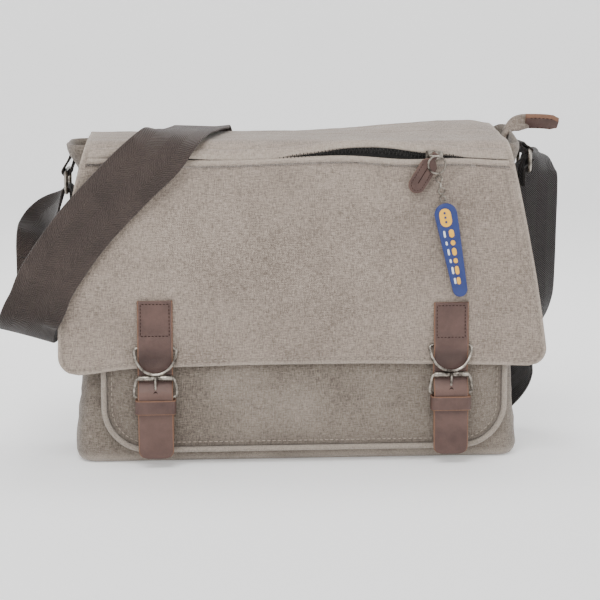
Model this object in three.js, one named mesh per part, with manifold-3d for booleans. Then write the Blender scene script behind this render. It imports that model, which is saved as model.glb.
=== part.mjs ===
// Canvas messenger bag with a full flap, two buckled leather closures, a flap pocket zip,
// a front pocket, a top zip and a webbing shoulder strap.
// Millimetres, +Z up, front towards -Y, origin in the middle of the bottom face.
import * as THREE from "three";
import { mergeVertices } from "three/addons/utils/BufferGeometryUtils.js";
import Module from "manifold-3d";

const wasm = await Module();
wasm.setup();

// Bag body
const BODY_HALF_WIDTH = 202; // at the bottom
const BODY_FLARE = -6; // how much wider each side is at the top; the sides draw in
const BODY_HALF_DEPTH = 50;
const CORNER_RADIUS = 20;
const CANVAS = 2;
const GAP = 0.6;
const FRONT_TOP = 266;
const BACK_TOP = 287;
const GUSSET_TOP = 285;
const LINING_TOP = 260;
const DIVIDER_TOP = 216;

// Front pocket
const POCKET_CENTRE = 3;
const POCKET_HALF_WIDTH = 176;
const POCKET_BOTTOM = 17;
const POCKET_TOP = 190;
const POCKET_RADIUS = 36;
const POCKET_FRONT = -61.4;
const PIPING_RADIUS = 2.2;

// Flap: a top panel that turns on the back edge and a front panel that folds at the front
const FLAP_BACK_Y = 50;
const FLAP_BACK_Z = 291.2;
const FOLD_Y = -44.5;
const FOLD_Z = 289.2;
const FOLD_RADIUS = 17;
const FLAP_CANVAS = 1.8;
const FLAP_BOTTOM = 87;
const FLAP_OUTER_LOW = -67; // outer surface of the flap at its lower edge
const FLAP_FALL = 1.6; // the flap comes forward over the first 1 / FLAP_FALL of its height
const FLAP_SIDES = {
  left: { top: -187, low: -215, curve: 2.3 },
  right: { top: 182, low: 219, curve: 1.25 },
}; // the X of each side at the fold and at the lower edge, and how soon it spreads
const FLAP_CORNER = 16;

// Closures
const CLOSURE_CENTRES = { left: -130, right: 131 };
const TAB_TOP = { left: 150, right: 146 };
const LEATHER_WIDTH = 31;
const LEATHER = 2;
const RING_WIRE = 1.3;
const FRAME_Y = -73.4;
const FRAME_TOP_Z = 82.2;
const FRAME_LOW_Z = 65.5;

// Shoulder strap
const WEBBING_WIDTH = 50.8;
const WEBBING = 2.2;
const SIDE_RING_X = 207;
const SIDE_RING_Z = { left: 250, right: 267 };
const SIDE_RING_HALF = { y: 28, z: 9, corner: 4 };
const SIDE_WIRE = 1.8;

const COLOURS = {
  canvas: [0x9d948b, 0.92, 0],
  leather: [0x64493f, 0.55, 0],
  webbing: [0x453a35, 0.85, 0],
  metal: [0x9a948a, 0.35, 1],
  zip: [0x262524, 0.7, 0],
  lining: [0x3a3634, 0.9, 0],
  rubber: [0x2f4a8c, 0.5, 0],
};

const bag = new THREE.Group();

function addMesh(name, geometry, look) {
  const [color, roughness, metalness] = COLOURS[look];
  const mesh = new THREE.Mesh(geometry, new THREE.MeshStandardMaterial({ color, roughness, metalness }));
  mesh.name = name;
  bag.add(mesh);
  return mesh;
}

// --- Solids and booleans ---

function toSolid(geometry) {
  const bare = geometry.clone();
  bare.deleteAttribute("normal");
  bare.deleteAttribute("uv");
  const merged = mergeVertices(bare, 1e-3);
  return new wasm.Manifold(new wasm.Mesh({
    numProp: 3,
    vertProperties: new Float32Array(merged.attributes.position.array),
    triVerts: new Uint32Array(merged.index.array),
  }));
}

function toGeometry(solid) {
  const mesh = solid.getMesh();
  return new THREE.BufferGeometry()
    .setAttribute("position", new THREE.BufferAttribute(new Float32Array(mesh.vertProperties), 3))
    .setIndex(new THREE.BufferAttribute(new Uint32Array(mesh.triVerts), 1));
}

function box(x0, x1, y0, y1, z0, z1) {
  const geometry = new THREE.BoxGeometry(x1 - x0, y1 - y0, z1 - z0);
  return geometry.translate((x0 + x1) / 2, (y0 + y1) / 2, (z0 + z1) / 2);
}

// A flat plate: a shape drawn in X and Z, from y0 to y1.
function plate(shape, y0, y1, curveSegments = 8) {
  const geometry = new THREE.ExtrudeGeometry(shape, { depth: y1 - y0, bevelEnabled: false, curveSegments });
  return geometry.rotateX(Math.PI / 2).translate(0, y1, 0);
}

// A strip whose outline is drawn in Y and Z, from x0 to x1.
function strip(shape, x0, x1, curveSegments = 6) {
  const geometry = new THREE.ExtrudeGeometry(shape, { depth: x1 - x0, bevelEnabled: false, curveSegments });
  return geometry.applyMatrix4(new THREE.Matrix4().set(0, 0, 1, x0, 1, 0, 0, 0, 0, 1, 0, 0, 0, 0, 0, 1));
}

// A solid skinned over rings of points, each with the same number of corners, with a flat face at both ends.
function skinRings(rings) {
  const corners = rings[0].length;
  const positions = rings.flat().flatMap((p) => [p.x, p.y, p.z]);
  const index = [];
  for (let i = 0; i < rings.length - 1; i++) {
    const here = i * corners;
    const next = here + corners;
    for (let k = 0; k < corners; k++) {
      const l = (k + 1) % corners;
      index.push(here + k, here + l, next + l, here + k, next + l, next + k);
    }
  }
  const last = (rings.length - 1) * corners;
  for (let k = 1; k < corners - 1; k++) {
    index.push(0, k + 1, k);
    index.push(last, last + k, last + k + 1);
  }
  const geometry = new THREE.BufferGeometry();
  geometry.setAttribute("position", new THREE.BufferAttribute(new Float32Array(positions), 3));
  geometry.setIndex(index);
  return facingOut(geometry);
}

// Turns the faces round if they point inwards.
function facingOut(geometry) {
  const p = geometry.attributes.position;
  const index = geometry.index.array;
  const [a, b, c] = [new THREE.Vector3(), new THREE.Vector3(), new THREE.Vector3()];
  let volume = 0;
  for (let i = 0; i < index.length; i += 3) {
    a.fromBufferAttribute(p, index[i]);
    b.fromBufferAttribute(p, index[i + 1]);
    c.fromBufferAttribute(p, index[i + 2]);
    volume += a.dot(b.cross(c));
  }
  if (volume < 0) {
    for (let i = 0; i < index.length; i += 3) {
      [index[i + 1], index[i + 2]] = [index[i + 2], index[i + 1]];
    }
  }
  return geometry;
}

// A round wire along a closed curve.
function closedWire(curve, radius, steps) {
  return new THREE.TubeGeometry(curve, steps, radius, 8, true);
}

// A round wire along an open curve, with flat ends.
function openWire(curve, radius, steps) {
  const section = new THREE.Shape();
  section.absarc(0, 0, radius, 0, 2 * Math.PI);
  return new THREE.ExtrudeGeometry(section, { steps, curveSegments: 6, extrudePath: curve });
}

function pathOf(points, closed = false) {
  return new THREE.CatmullRomCurve3(points.map((p) => new THREE.Vector3(...p)), closed, "centripetal");
}

// --- Bag body ---

function bodyHalfWidth(z) {
  return BODY_HALF_WIDTH + BODY_FLARE * (z / GUSSET_TOP);
}

// The front outline of the body, drawn inset from the outside.
function bodyOutline(inset, top) {
  const radius = CORNER_RADIUS - inset;
  const low = bodyHalfWidth(CORNER_RADIUS) - inset;
  const high = bodyHalfWidth(top) - inset;
  const shape = new THREE.Shape();
  shape.moveTo(-high, top);
  shape.lineTo(-low, CORNER_RADIUS);
  shape.absarc(-low + radius, CORNER_RADIUS, radius, Math.PI, 1.5 * Math.PI);
  shape.absarc(low - radius, CORNER_RADIUS, radius, 1.5 * Math.PI, 2 * Math.PI);
  shape.lineTo(high, top);
  shape.closePath();
  return shape;
}

const PANEL_INNER = BODY_HALF_DEPTH - CANVAS;
addMesh("front_panel", plate(bodyOutline(0, FRONT_TOP), -BODY_HALF_DEPTH, -PANEL_INNER), "canvas");
addMesh("back_panel", plate(bodyOutline(0, BACK_TOP), PANEL_INNER, BODY_HALF_DEPTH), "canvas");

const BAND_HALF = PANEL_INNER - GAP; // the gusset band lies between front and back
const PAST = 20; // how far a cutting shape reaches beyond what it cuts
const band = toSolid(plate(bodyOutline(0, GUSSET_TOP), -BAND_HALF, BAND_HALF))
  .subtract(toSolid(plate(bodyOutline(CANVAS, GUSSET_TOP + PAST), -BAND_HALF - PAST, BAND_HALF + PAST)));
const BASE_END = 176; // half the length of the flat base
const besideBase = (x0, x1) =>
  band.intersect(toSolid(box(x0, x1, -BAND_HALF - PAST, BAND_HALF + PAST, -PAST, GUSSET_TOP + PAST)));
const BODY_SIDE = BODY_HALF_WIDTH + PAST;
addMesh("gusset_left", toGeometry(besideBase(-BODY_SIDE, -BASE_END - GAP)), "canvas");
addMesh("gusset_right", toGeometry(besideBase(BASE_END + GAP, BODY_SIDE)), "canvas");
addMesh("base_panel", box(-BASE_END, BASE_END, -BAND_HALF, BAND_HALF, 0, CANVAS), "canvas");

const LINING_INSET = CANVAS + GAP;
const LINING = 1;
const LINING_HALF = BAND_HALF - 0.2;
const liningOutside = plate(bodyOutline(LINING_INSET, LINING_TOP), -LINING_HALF, LINING_HALF);
const liningInside = plate(
  bodyOutline(LINING_INSET + LINING, LINING_TOP + PAST),
  -LINING_HALF + LINING,
  LINING_HALF - LINING,
);
addMesh("lining", toGeometry(toSolid(liningOutside).subtract(toSolid(liningInside))), "lining");

const DIVIDER_FRONT = 21;
const DIVIDER_BACK = 25;
const DIVIDER_INSET = 5;
const divider = plate(bodyOutline(DIVIDER_INSET, DIVIDER_TOP), DIVIDER_FRONT, DIVIDER_BACK);
addMesh("laptop_divider", divider, "lining");

// --- Front pocket with piping ---

function pocketOutline(inset, top) {
  const half = POCKET_HALF_WIDTH - inset;
  const radius = POCKET_RADIUS - inset;
  const low = POCKET_BOTTOM + inset;
  const shape = new THREE.Shape();
  shape.moveTo(POCKET_CENTRE - half, top);
  shape.lineTo(POCKET_CENTRE - half, low + radius);
  shape.absarc(POCKET_CENTRE - half + radius, low + radius, radius, Math.PI, 1.5 * Math.PI);
  shape.absarc(POCKET_CENTRE + half - radius, low + radius, radius, 1.5 * Math.PI, 2 * Math.PI);
  shape.lineTo(POCKET_CENTRE + half, top);
  shape.closePath();
  return shape;
}

const POCKET_WALL = 1.6;
const pocketOutside = plate(pocketOutline(0, POCKET_TOP), POCKET_FRONT, -BODY_HALF_DEPTH - GAP);
const pocketInside = plate(
  pocketOutline(POCKET_WALL, POCKET_TOP + PAST),
  POCKET_FRONT + POCKET_WALL,
  -BODY_HALF_DEPTH,
);
addMesh("pocket_panel", toGeometry(toSolid(pocketOutside).subtract(toSolid(pocketInside))), "canvas");

const PIPING_GAP = 0.5;
const PIPING_TOP = POCKET_TOP - 2;
const pipingOutline = pocketOutline(-PIPING_RADIUS - PIPING_GAP, PIPING_TOP).getPoints(7).slice(0, -1);
const pipingRings = pipingOutline.map((p, k) => {
  const before = pipingOutline[Math.max(k - 1, 0)];
  const after = pipingOutline[Math.min(k + 1, pipingOutline.length - 1)];
  const along = new THREE.Vector3(after.x - before.x, 0, after.y - before.y).normalize();
  const out = new THREE.Vector3(along.z, 0, -along.x);
  return [0, 1, 2, 3, 4, 5].map((corner) => {
    const angle = (corner * Math.PI) / 3;
    return new THREE.Vector3(p.x, POCKET_FRONT + PIPING_RADIUS * (1 + Math.sin(angle)), p.y)
      .addScaledVector(out, PIPING_RADIUS * Math.cos(angle));
  });
});
addMesh("pocket_piping", skinRings(pipingRings), "canvas");

// --- Flap ---

// Distance along the flap's outer surface, from the fold, to a point in Y and Z with its outward normal.
const ARC_CENTRE = { y: FOLD_Y, z: FOLD_Z - FOLD_RADIUS };
const ARC_LENGTH = (FOLD_RADIUS * Math.PI) / 2;
function flapProfile(s) {
  if (s <= ARC_LENGTH) {
    const angle = s / FOLD_RADIUS;
    const normal = { y: -Math.sin(angle), z: Math.cos(angle) };
    return { y: ARC_CENTRE.y + FOLD_RADIUS * normal.y, z: ARC_CENTRE.z + FOLD_RADIUS * normal.z, normal };
  }
  const z = ARC_CENTRE.z - (s - ARC_LENGTH);
  const share = Math.min(((ARC_CENTRE.z - z) / (ARC_CENTRE.z - FLAP_BOTTOM)) * FLAP_FALL, 1);
  const top = ARC_CENTRE.y - FOLD_RADIUS;
  const y = top + (FLAP_OUTER_LOW - top) * Math.sin((share * Math.PI) / 2);
  return { y, z, normal: { y: -1, z: 0 } };
}
const FLAP_LENGTH = ARC_LENGTH + ARC_CENTRE.z - FLAP_BOTTOM;
const lengthAtZ = (z) => ARC_LENGTH + ARC_CENTRE.z - z;

// The X of the flap's left or right edge at height z, with its lower corner rounded.
function flapEdge(side, z) {
  const { top, low, curve } = FLAP_SIDES[side];
  const share = THREE.MathUtils.clamp((FOLD_Z - z) / (FOLD_Z - FLAP_BOTTOM), 0, 1);
  const edge = top + (low - top) * (1 - Math.pow(1 - share, curve));
  const up = Math.max(0, FLAP_CORNER - (z - FLAP_BOTTOM));
  const inset = FLAP_CORNER - Math.sqrt(Math.max(0, FLAP_CORNER ** 2 - up ** 2));
  return edge - Math.sign(edge) * inset;
}

// A sheet that follows the flap's profile: from length s0 to s1, at an offset outwards, of a thickness.
function flapSheet({ s0, s1, offset, thickness, left, right, stops = [] }) {
  const lengths = [s0, ...stops.filter((s) => s > s0 && s < s1), s1];
  const rings = lengths.map((s) => {
    const p = flapProfile(s);
    const corner = (x, out) => new THREE.Vector3(x, p.y + p.normal.y * out, p.z + p.normal.z * out);
    return [
      corner(left(p.z), offset),
      corner(right(p.z), offset),
      corner(right(p.z), offset + thickness),
      corner(left(p.z), offset + thickness),
    ];
  });
  return skinRings(rings);
}

const arcStops = [1, 2, 3, 4, 5].map((k) => (ARC_LENGTH * k) / 5);
const flatStops = [250, 225, 200, 175, 150, 125].map(lengthAtZ);
const cornerStops = [1, 0.75, 0.5, 0.3, 0.15, 0.06].map((k) => lengthAtZ(FLAP_BOTTOM + FLAP_CORNER * k));
const flapStops = [...arcStops, ...flatStops, ...cornerStops];

const flapTop = new THREE.Shape();
flapTop.moveTo(FLAP_BACK_Y, FLAP_BACK_Z);
flapTop.lineTo(FLAP_BACK_Y, FLAP_BACK_Z - FLAP_CANVAS);
flapTop.lineTo(FOLD_Y + GAP, FOLD_Z - FLAP_CANVAS);
flapTop.lineTo(FOLD_Y + GAP, FOLD_Z);
flapTop.closePath();
addMesh("flap_top", strip(flapTop, FLAP_SIDES.left.top, FLAP_SIDES.right.top), "canvas");

addMesh(
  "flap_front",
  flapSheet({
    s0: 0,
    s1: FLAP_LENGTH - 0.2,
    offset: -FLAP_CANVAS,
    thickness: FLAP_CANVAS,
    left: (z) => flapEdge("left", z),
    right: (z) => flapEdge("right", z),
    stops: flapStops,
  }),
  "canvas",
);

const FLAP_LINING_INSET = 7;
addMesh(
  "flap_lining",
  flapSheet({
    s0: ARC_LENGTH + FLAP_LINING_INSET,
    s1: lengthAtZ(FLAP_BOTTOM + FLAP_LINING_INSET),
    offset: -FLAP_CANVAS - 0.5 - LINING,
    thickness: LINING,
    left: (z) => flapEdge("left", Math.max(z, FLAP_BOTTOM + FLAP_CORNER)) + FLAP_LINING_INSET,
    right: (z) => flapEdge("right", Math.max(z, FLAP_BOTTOM + FLAP_CORNER)) - FLAP_LINING_INSET,
    stops: flatStops,
  }),
  "lining",
);

// --- Zip of the flap pocket ---

const ZIP_LEFT = -187;
const ZIP_RIGHT = 158;
const ZIP_S = ARC_LENGTH - 3; // the chain's place along the profile
const TAPE_HALF = 6;
addMesh(
  "flap_zip_tape",
  flapSheet({
    s0: ZIP_S - TAPE_HALF,
    s1: ZIP_S + TAPE_HALF,
    offset: 0.35,
    thickness: 0.6,
    left: () => ZIP_LEFT,
    right: () => ZIP_RIGHT,
    stops: arcStops,
  }),
  "zip",
);
const CHAIN_OFFSET = 1.25;
const CHAIN_HEIGHT = 1.2;
addMesh(
  "flap_zip_chain",
  flapSheet({
    s0: ZIP_S - 2,
    s1: ZIP_S + 2,
    offset: CHAIN_OFFSET,
    thickness: CHAIN_HEIGHT,
    left: () => ZIP_LEFT + 3,
    right: () => ZIP_RIGHT - 3,
  }),
  "zip",
);

const zipPlace = flapProfile(ZIP_S);
const SLIDER_X = 115;
const SLIDER_Y = zipPlace.y - CHAIN_OFFSET - CHAIN_HEIGHT - 0.4; // the slider's back face
const SLIDER = { halfX: 7.5, halfZ: 4.5, depth: 2.6 };
const sliderShape = new THREE.Shape();
sliderShape.moveTo(-SLIDER.halfX, -SLIDER.halfZ);
sliderShape.lineTo(SLIDER.halfX * 0.4, -SLIDER.halfZ);
sliderShape.lineTo(SLIDER.halfX, -SLIDER.halfZ * 0.55);
sliderShape.lineTo(SLIDER.halfX, SLIDER.halfZ * 0.55);
sliderShape.lineTo(SLIDER.halfX * 0.4, SLIDER.halfZ);
sliderShape.lineTo(-SLIDER.halfX, SLIDER.halfZ);
sliderShape.closePath();
const SLIDER_FRONT = SLIDER_Y - SLIDER.depth;
const sliderBody = toSolid(plate(sliderShape, SLIDER_FRONT, SLIDER_Y).translate(SLIDER_X, 0, zipPlace.z));
const BRIDGE_WIRE = 0.8;
const BRIDGE_Y = SLIDER_FRONT - 3.8;
const bridgePath = pathOf(
  [
    [-5, SLIDER_FRONT + BRIDGE_WIRE],
    [-5, BRIDGE_Y + 1.2],
    [-3, BRIDGE_Y],
    [3, BRIDGE_Y],
    [5, BRIDGE_Y + 1.2],
    [5, SLIDER_FRONT + BRIDGE_WIRE],
  ].map(([x, y]) => [SLIDER_X + x, y, zipPlace.z]),
);
const bridge = toSolid(openWire(bridgePath, BRIDGE_WIRE, 16));
addMesh("flap_zip_slider", toGeometry(sliderBody.add(bridge)), "metal");

// The leather pull hangs from the bridge and lies tilted to the left.
const PULL_TILT = 0.55;
const PULL_LENGTH = 37;
const PULL_HALF = 7.5;
const PULL_THICK = 1.8;
// The tongue that passes under the bridge
const PULL_NECK = { half: 2.6, top: 2.4, low: -3.6, shoulder: -7.5 };
const pullShape = new THREE.Shape();
pullShape.moveTo(-PULL_NECK.half, PULL_NECK.top);
pullShape.lineTo(-PULL_NECK.half, PULL_NECK.low);
pullShape.lineTo(-PULL_HALF, PULL_NECK.shoulder);
pullShape.lineTo(-PULL_HALF, -PULL_LENGTH + PULL_HALF);
pullShape.absarc(0, -PULL_LENGTH + PULL_HALF, PULL_HALF, Math.PI, 2 * Math.PI);
pullShape.lineTo(PULL_HALF, PULL_NECK.shoulder);
pullShape.lineTo(PULL_NECK.half, PULL_NECK.low);
pullShape.lineTo(PULL_NECK.half, PULL_NECK.top);
pullShape.closePath();
const PULL_Y = SLIDER_FRONT - 1.6; // middle of the tongue, between the slider and its bridge
const pull = plate(pullShape, -PULL_THICK / 2, PULL_THICK / 2, 6);
pull.rotateY(PULL_TILT).translate(SLIDER_X, PULL_Y, zipPlace.z);
addMesh("flap_zip_pull", pull, "leather");

// --- Key ring, chain and charm ---

// A small round ring of wire that faces the front.
function frontRing(radius, wire, segments, x, y, z) {
  return new THREE.TorusGeometry(radius, wire, 6, segments).rotateX(Math.PI / 2).translate(x, y, z);
}

const KEY_RING = { x: SLIDER_X + 1, y: BRIDGE_Y - 3.4, z: zipPlace.z - 7.5, radius: 7.6, wire: 0.9 };
const keyRing = frontRing(KEY_RING.radius, KEY_RING.wire, 28, KEY_RING.x, KEY_RING.y, KEY_RING.z);
addMesh("key_ring", keyRing, "metal");

const LINK_RADIUS = 2.7;
const LINK_WIRE = 0.8;
const LINK_PITCH = 2 * LINK_RADIUS - 0.3; // neighbouring links are soldered where they meet
const LINK_COUNT = 3;
const LINK_GAP = 0.4;
const CHAIN_X = KEY_RING.x + 2;
const CHAIN_TOP = KEY_RING.z - KEY_RING.radius - KEY_RING.wire - LINK_RADIUS - LINK_WIRE - LINK_GAP;
const CHAIN_LEAN = 1.2; // each link hangs this much further to the right
const links = Array.from({ length: LINK_COUNT }, (_, k) =>
  toSolid(
    frontRing(LINK_RADIUS, LINK_WIRE, 16, 0, 0, 0)
      .rotateZ(k % 2 ? Math.PI / 2 : 0)
      .translate(CHAIN_X + k * CHAIN_LEAN, KEY_RING.y, CHAIN_TOP - k * LINK_PITCH),
  ),
);
addMesh("charm_chain", toGeometry(links.reduce((chain, link) => chain.add(link))), "metal");

const CHARM_RING = { radius: 2.6, wire: 0.9 };
const CHARM_PIVOT = {
  x: CHAIN_X + LINK_COUNT * CHAIN_LEAN,
  z: CHAIN_TOP - (LINK_COUNT - 1) * LINK_PITCH - LINK_RADIUS - LINK_WIRE - CHARM_RING.radius - 2 * LINK_GAP,
};
const CHARM_LEAN = -0.2;
const CHARM_THICK = 3.2;
const charmLink = frontRing(CHARM_RING.radius, CHARM_RING.wire, 16, CHARM_PIVOT.x, KEY_RING.y, CHARM_PIVOT.z);
addMesh("charm_link", charmLink, "metal");

// A plain tapered rubber tag with rounded ends.
const CHARM = { length: 84, topHalf: 10, lowHalf: 6.5, gap: 4.2 };
const charmShape = new THREE.Shape();
charmShape.moveTo(-CHARM.topHalf, -CHARM.gap - CHARM.topHalf);
charmShape.lineTo(-CHARM.lowHalf, -CHARM.gap - CHARM.length + CHARM.lowHalf);
charmShape.absarc(0, -CHARM.gap - CHARM.length + CHARM.lowHalf, CHARM.lowHalf, Math.PI, 2 * Math.PI);
charmShape.lineTo(CHARM.topHalf, -CHARM.gap - CHARM.topHalf);
charmShape.absarc(0, -CHARM.gap - CHARM.topHalf, CHARM.topHalf, 0, Math.PI);
const charm = plate(charmShape, -CHARM_THICK / 2, CHARM_THICK / 2, 6);
charm.rotateY(CHARM_LEAN).translate(CHARM_PIVOT.x, KEY_RING.y, CHARM_PIVOT.z);
addMesh("charm_tag", charm, "rubber");

// --- Leather closures: flap strap, ring, buckle, keeper, backing and snap ---

// A leather layer that follows a centre line of [y, z] points.
function leatherLayer(points, halfWidthAt, x, thickness, steps) {
  const curve = pathOf(points.map(([y, z]) => [0, y, z]));
  const rings = [];
  for (let k = 0; k <= steps; k++) {
    const p = curve.getPoint(k / steps);
    const t = curve.getTangent(k / steps);
    const half = halfWidthAt(p.z);
    const out = new THREE.Vector3(0, -t.z, t.y).normalize().multiplyScalar(thickness / 2);
    const side = new THREE.Vector3(half, 0, 0);
    const middle = new THREE.Vector3(x, p.y, p.z);
    rings.push([
      middle.clone().sub(side).sub(out),
      middle.clone().add(side).sub(out),
      middle.clone().add(side).add(out),
      middle.clone().sub(side).add(out),
    ]);
  }
  return skinRings(rings);
}

// A closed rounded rectangle; place turns its two coordinates into a point.
function roundedRing(halfA, halfB, corner, place) {
  const shape = new THREE.Shape();
  shape.moveTo(-halfA + corner, -halfB);
  shape.lineTo(halfA - corner, -halfB);
  shape.absarc(halfA - corner, -halfB + corner, corner, -Math.PI / 2, 0);
  shape.lineTo(halfA, halfB - corner);
  shape.absarc(halfA - corner, halfB - corner, corner, 0, Math.PI / 2);
  shape.lineTo(-halfA + corner, halfB);
  shape.absarc(-halfA + corner, halfB - corner, corner, Math.PI / 2, Math.PI);
  shape.lineTo(-halfA, -halfB + corner);
  shape.absarc(-halfA + corner, -halfB + corner, corner, Math.PI, 1.5 * Math.PI);
  const points = shape.getPoints(4).slice(0, -1).map((p) => place(p.x, p.y));
  return new THREE.CatmullRomCurve3(points, true, "centripetal");
}

// Centre lines in Y and Z: the flap's tab in front of the ring's bar, then the strap behind the ring
// and over the buckle, down to its tail.
const tabLow = [
  [-68.5, 136],
  [-69, 122],
  [-70.6, 114],
  [-71.25, 109.3],
];
const strapPoints = [
  [-71.4, 107.2],
  [-70.7, 103],
  [-69.4, 98.5],
  [-68.9, 93],
  [-69.2, 85.5],
  [-70.4, 78.5],
  [-73.2, 73.5],
  [-75.6, 69],
  [-76.4, 64.5],
  [-76.1, 57.5],
  [-75.2, 45],
  [-74.2, 31],
  [-73.3, 16],
  [-72.9, 10],
];
const prongPoints = [
  [-73.5, 67.8],
  [-74.4, 71.5],
  [-75.5, 76],
  [-75.9, 79.5],
  [-76, 83],
];
const TAB_TOP_Y = -68.4;
const TAIL_CORNER = 6;
const SLOT = { half: 2.3, low: 66.1, high: 80.5, front: -90, back: -60 };
const D_RING = { half: 18.6, depth: 23.5, forward: 6.6, corner: 2, barY: -68.7, barZ: 108 };
const FRAME_HALF = { top: 15.5, low: 18.6 };
const PRONG = { half: 1.3, thickness: 1.9 };
const KEEPER = { low: 50, high: 63.2, inner: 16.3, front: -78, back: -66.2, wall: 1.3 };
const BACKING = { y: -68, low: 21, high: 58, aside: 0.6 };
const SNAP = { z: 34, stud: 6, socket: 7.5, meet: -64.3 };

// A D with its straight bar up, hanging forward of the flap.
function dRingCurve(x) {
  const { half, depth, forward, corner, barY, barZ } = D_RING;
  const tilt = Math.atan2(forward, depth);
  const arc = Array.from({ length: 13 }, (_, k) => {
    const angle = Math.PI + (Math.PI * k) / 12;
    return [half * Math.cos(angle), (depth - corner) * Math.sin(angle) - corner];
  });
  const bar = [
    [half - 1.2, -0.4],
    [half - 4, 0],
    [0, 0],
    [-half + 4, 0],
    [-half + 1.2, -0.4],
  ];
  const place = ([a, down]) =>
    new THREE.Vector3(x + a, barY + down * Math.sin(tilt), barZ + down * Math.cos(tilt));
  return new THREE.CatmullRomCurve3([...arc, ...bar].map(place), true, "centripetal");
}

function buckleCurve(x) {
  const { top, low } = FRAME_HALF;
  const points = [
    [-low, FRAME_LOW_Z + 1.5],
    [-low + 1.6, FRAME_LOW_Z],
    [0, FRAME_LOW_Z],
    [low - 1.6, FRAME_LOW_Z],
    [low, FRAME_LOW_Z + 1.5],
    [top + 1, FRAME_TOP_Z - 1.2],
    [top - 1, FRAME_TOP_Z],
    [0, FRAME_TOP_Z],
    [-top + 1, FRAME_TOP_Z],
    [-top - 1, FRAME_TOP_Z - 1.2],
  ];
  return pathOf(points.map(([a, z]) => [x + a, FRAME_Y, z]), true);
}

function closureStrap(x) {
  const half = LEATHER_WIDTH / 2;
  const tailZ = strapPoints.at(-1)[1];
  const halfWidthAt = (z) => {
    const up = Math.max(0, TAIL_CORNER - (z - tailZ));
    return half - TAIL_CORNER + Math.sqrt(Math.max(0, TAIL_CORNER ** 2 - up ** 2));
  };
  const { half: slotHalf, front, back, low, high } = SLOT;
  const slot = box(x - slotHalf, x + slotHalf, front, back, low, high);
  const leather = leatherLayer(strapPoints, halfWidthAt, x, LEATHER, 40);
  return toGeometry(toSolid(leather).subtract(toSolid(slot)));
}

function keeperLoop(x) {
  const { inner, wall, front, back, low, high } = KEEPER;
  const outside = box(x - inner - wall, x + inner + wall, front - wall, back + wall, low, high);
  const inside = box(x - inner, x + inner, front, back, low - PAST, high + PAST);
  return toGeometry(toSolid(outside).subtract(toSolid(inside)));
}

function snapDisc(radius, y0, y1, x) {
  return new THREE.CylinderGeometry(radius, radius, y1 - y0, 20).translate(x, (y0 + y1) / 2, SNAP.z);
}

function closure(side) {
  const x = CLOSURE_CENTRES[side];
  const half = LEATHER_WIDTH / 2;
  const tabPoints = [[TAB_TOP_Y, TAB_TOP[side]], ...tabLow];
  addMesh("flap_tab_" + side, leatherLayer(tabPoints, () => half, x, LEATHER, 10), "leather");
  addMesh("closure_strap_" + side, closureStrap(x), "leather");
  addMesh("d_ring_" + side, closedWire(dRingCurve(x), RING_WIRE, 48), "metal");
  addMesh("buckle_frame_" + side, closedWire(buckleCurve(x), RING_WIRE, 48), "metal");
  const prong = leatherLayer(prongPoints, () => PRONG.half, x, PRONG.thickness, 8);
  addMesh("buckle_prong_" + side, prong, "metal");
  addMesh("keeper_" + side, keeperLoop(x), "leather");

  const middle = x + BACKING.aside;
  const backingFace = BACKING.y + LEATHER / 2;
  const { low, high } = BACKING;
  const backing = box(middle - half, middle + half, backingFace - LEATHER, backingFace, low, high);
  addMesh("closure_backing_" + side, backing, "leather");
  addMesh("snap_stud_" + side, snapDisc(SNAP.stud, backingFace + 0.3, SNAP.meet - 0.2, x), "metal");
  addMesh("snap_socket_" + side, snapDisc(SNAP.socket, SNAP.meet + 0.2, POCKET_FRONT - 0.3, x), "metal");
}
closure("left");
closure("right");

// --- Shoulder strap: one webbing, cut into stretches where it passes from one holder to the next ---

// Each station is [centre, direction across the width].
const strapToBack = [
  [[-235, 60, 172], [-1, 0, 0]],
  [[-235, 60, 161], [-1, 0, 0]],
  [[-235, 56, 143], [-1, 0, 0]],
  [[-237, 38, 126], [-0.98, -0.1, 0.1]],
  [[-239, 4, 118], [-0.96, -0.12, 0.22]],
  [[-242, -36, 117], [-0.94, -0.1, 0.3]],
  [[-243, -64, 123], [-0.95, -0.1, 0.26]],
  [[-238.5, -76, 135], [-0.99, -0.08, 0.08]],
  [[-231, -76, 149], [-1, 0, -0.02]],
  [[-224, -73.5, 166], [-0.99, 0, 0.12]],
  [[-211.4, -71.8, 186], [-0.95, 0, 0.31]],
  [[-197, -71.2, 206], [-0.87, 0, 0.49]],
  [[-184.4, -70.8, 221], [-0.84, 0, 0.54]],
  [[-160.8, -70.2, 246], [-0.84, 0, 0.54]],
  [[-143, -69.4, 263.5], [-0.86, 0.05, 0.5]],
  [[-127, -67, 278], [-0.88, 0.14, 0.44]],
  [[-115, -58.5, 290.5], [-0.9, 0.3, 0.25]],
  [[-105, -40, 295], [-0.93, 0.36, 0.06]],
  [[-97, -8, 294.8], [-0.95, 0.32, 0]],
  [[-90, 24, 295], [-0.95, 0.3, 0]],
  [[-86, 44, 294.4], [-0.95, 0.3, 0]],
  [[-84, 56.5, 291], [-0.95, 0.18, -0.2]],
  [[-82.6, 60, 286], [-0.93, 0.03, -0.33]],
  [[-81.2, 60.4, 281.6], [-0.93, 0, -0.35]],
];
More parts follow.
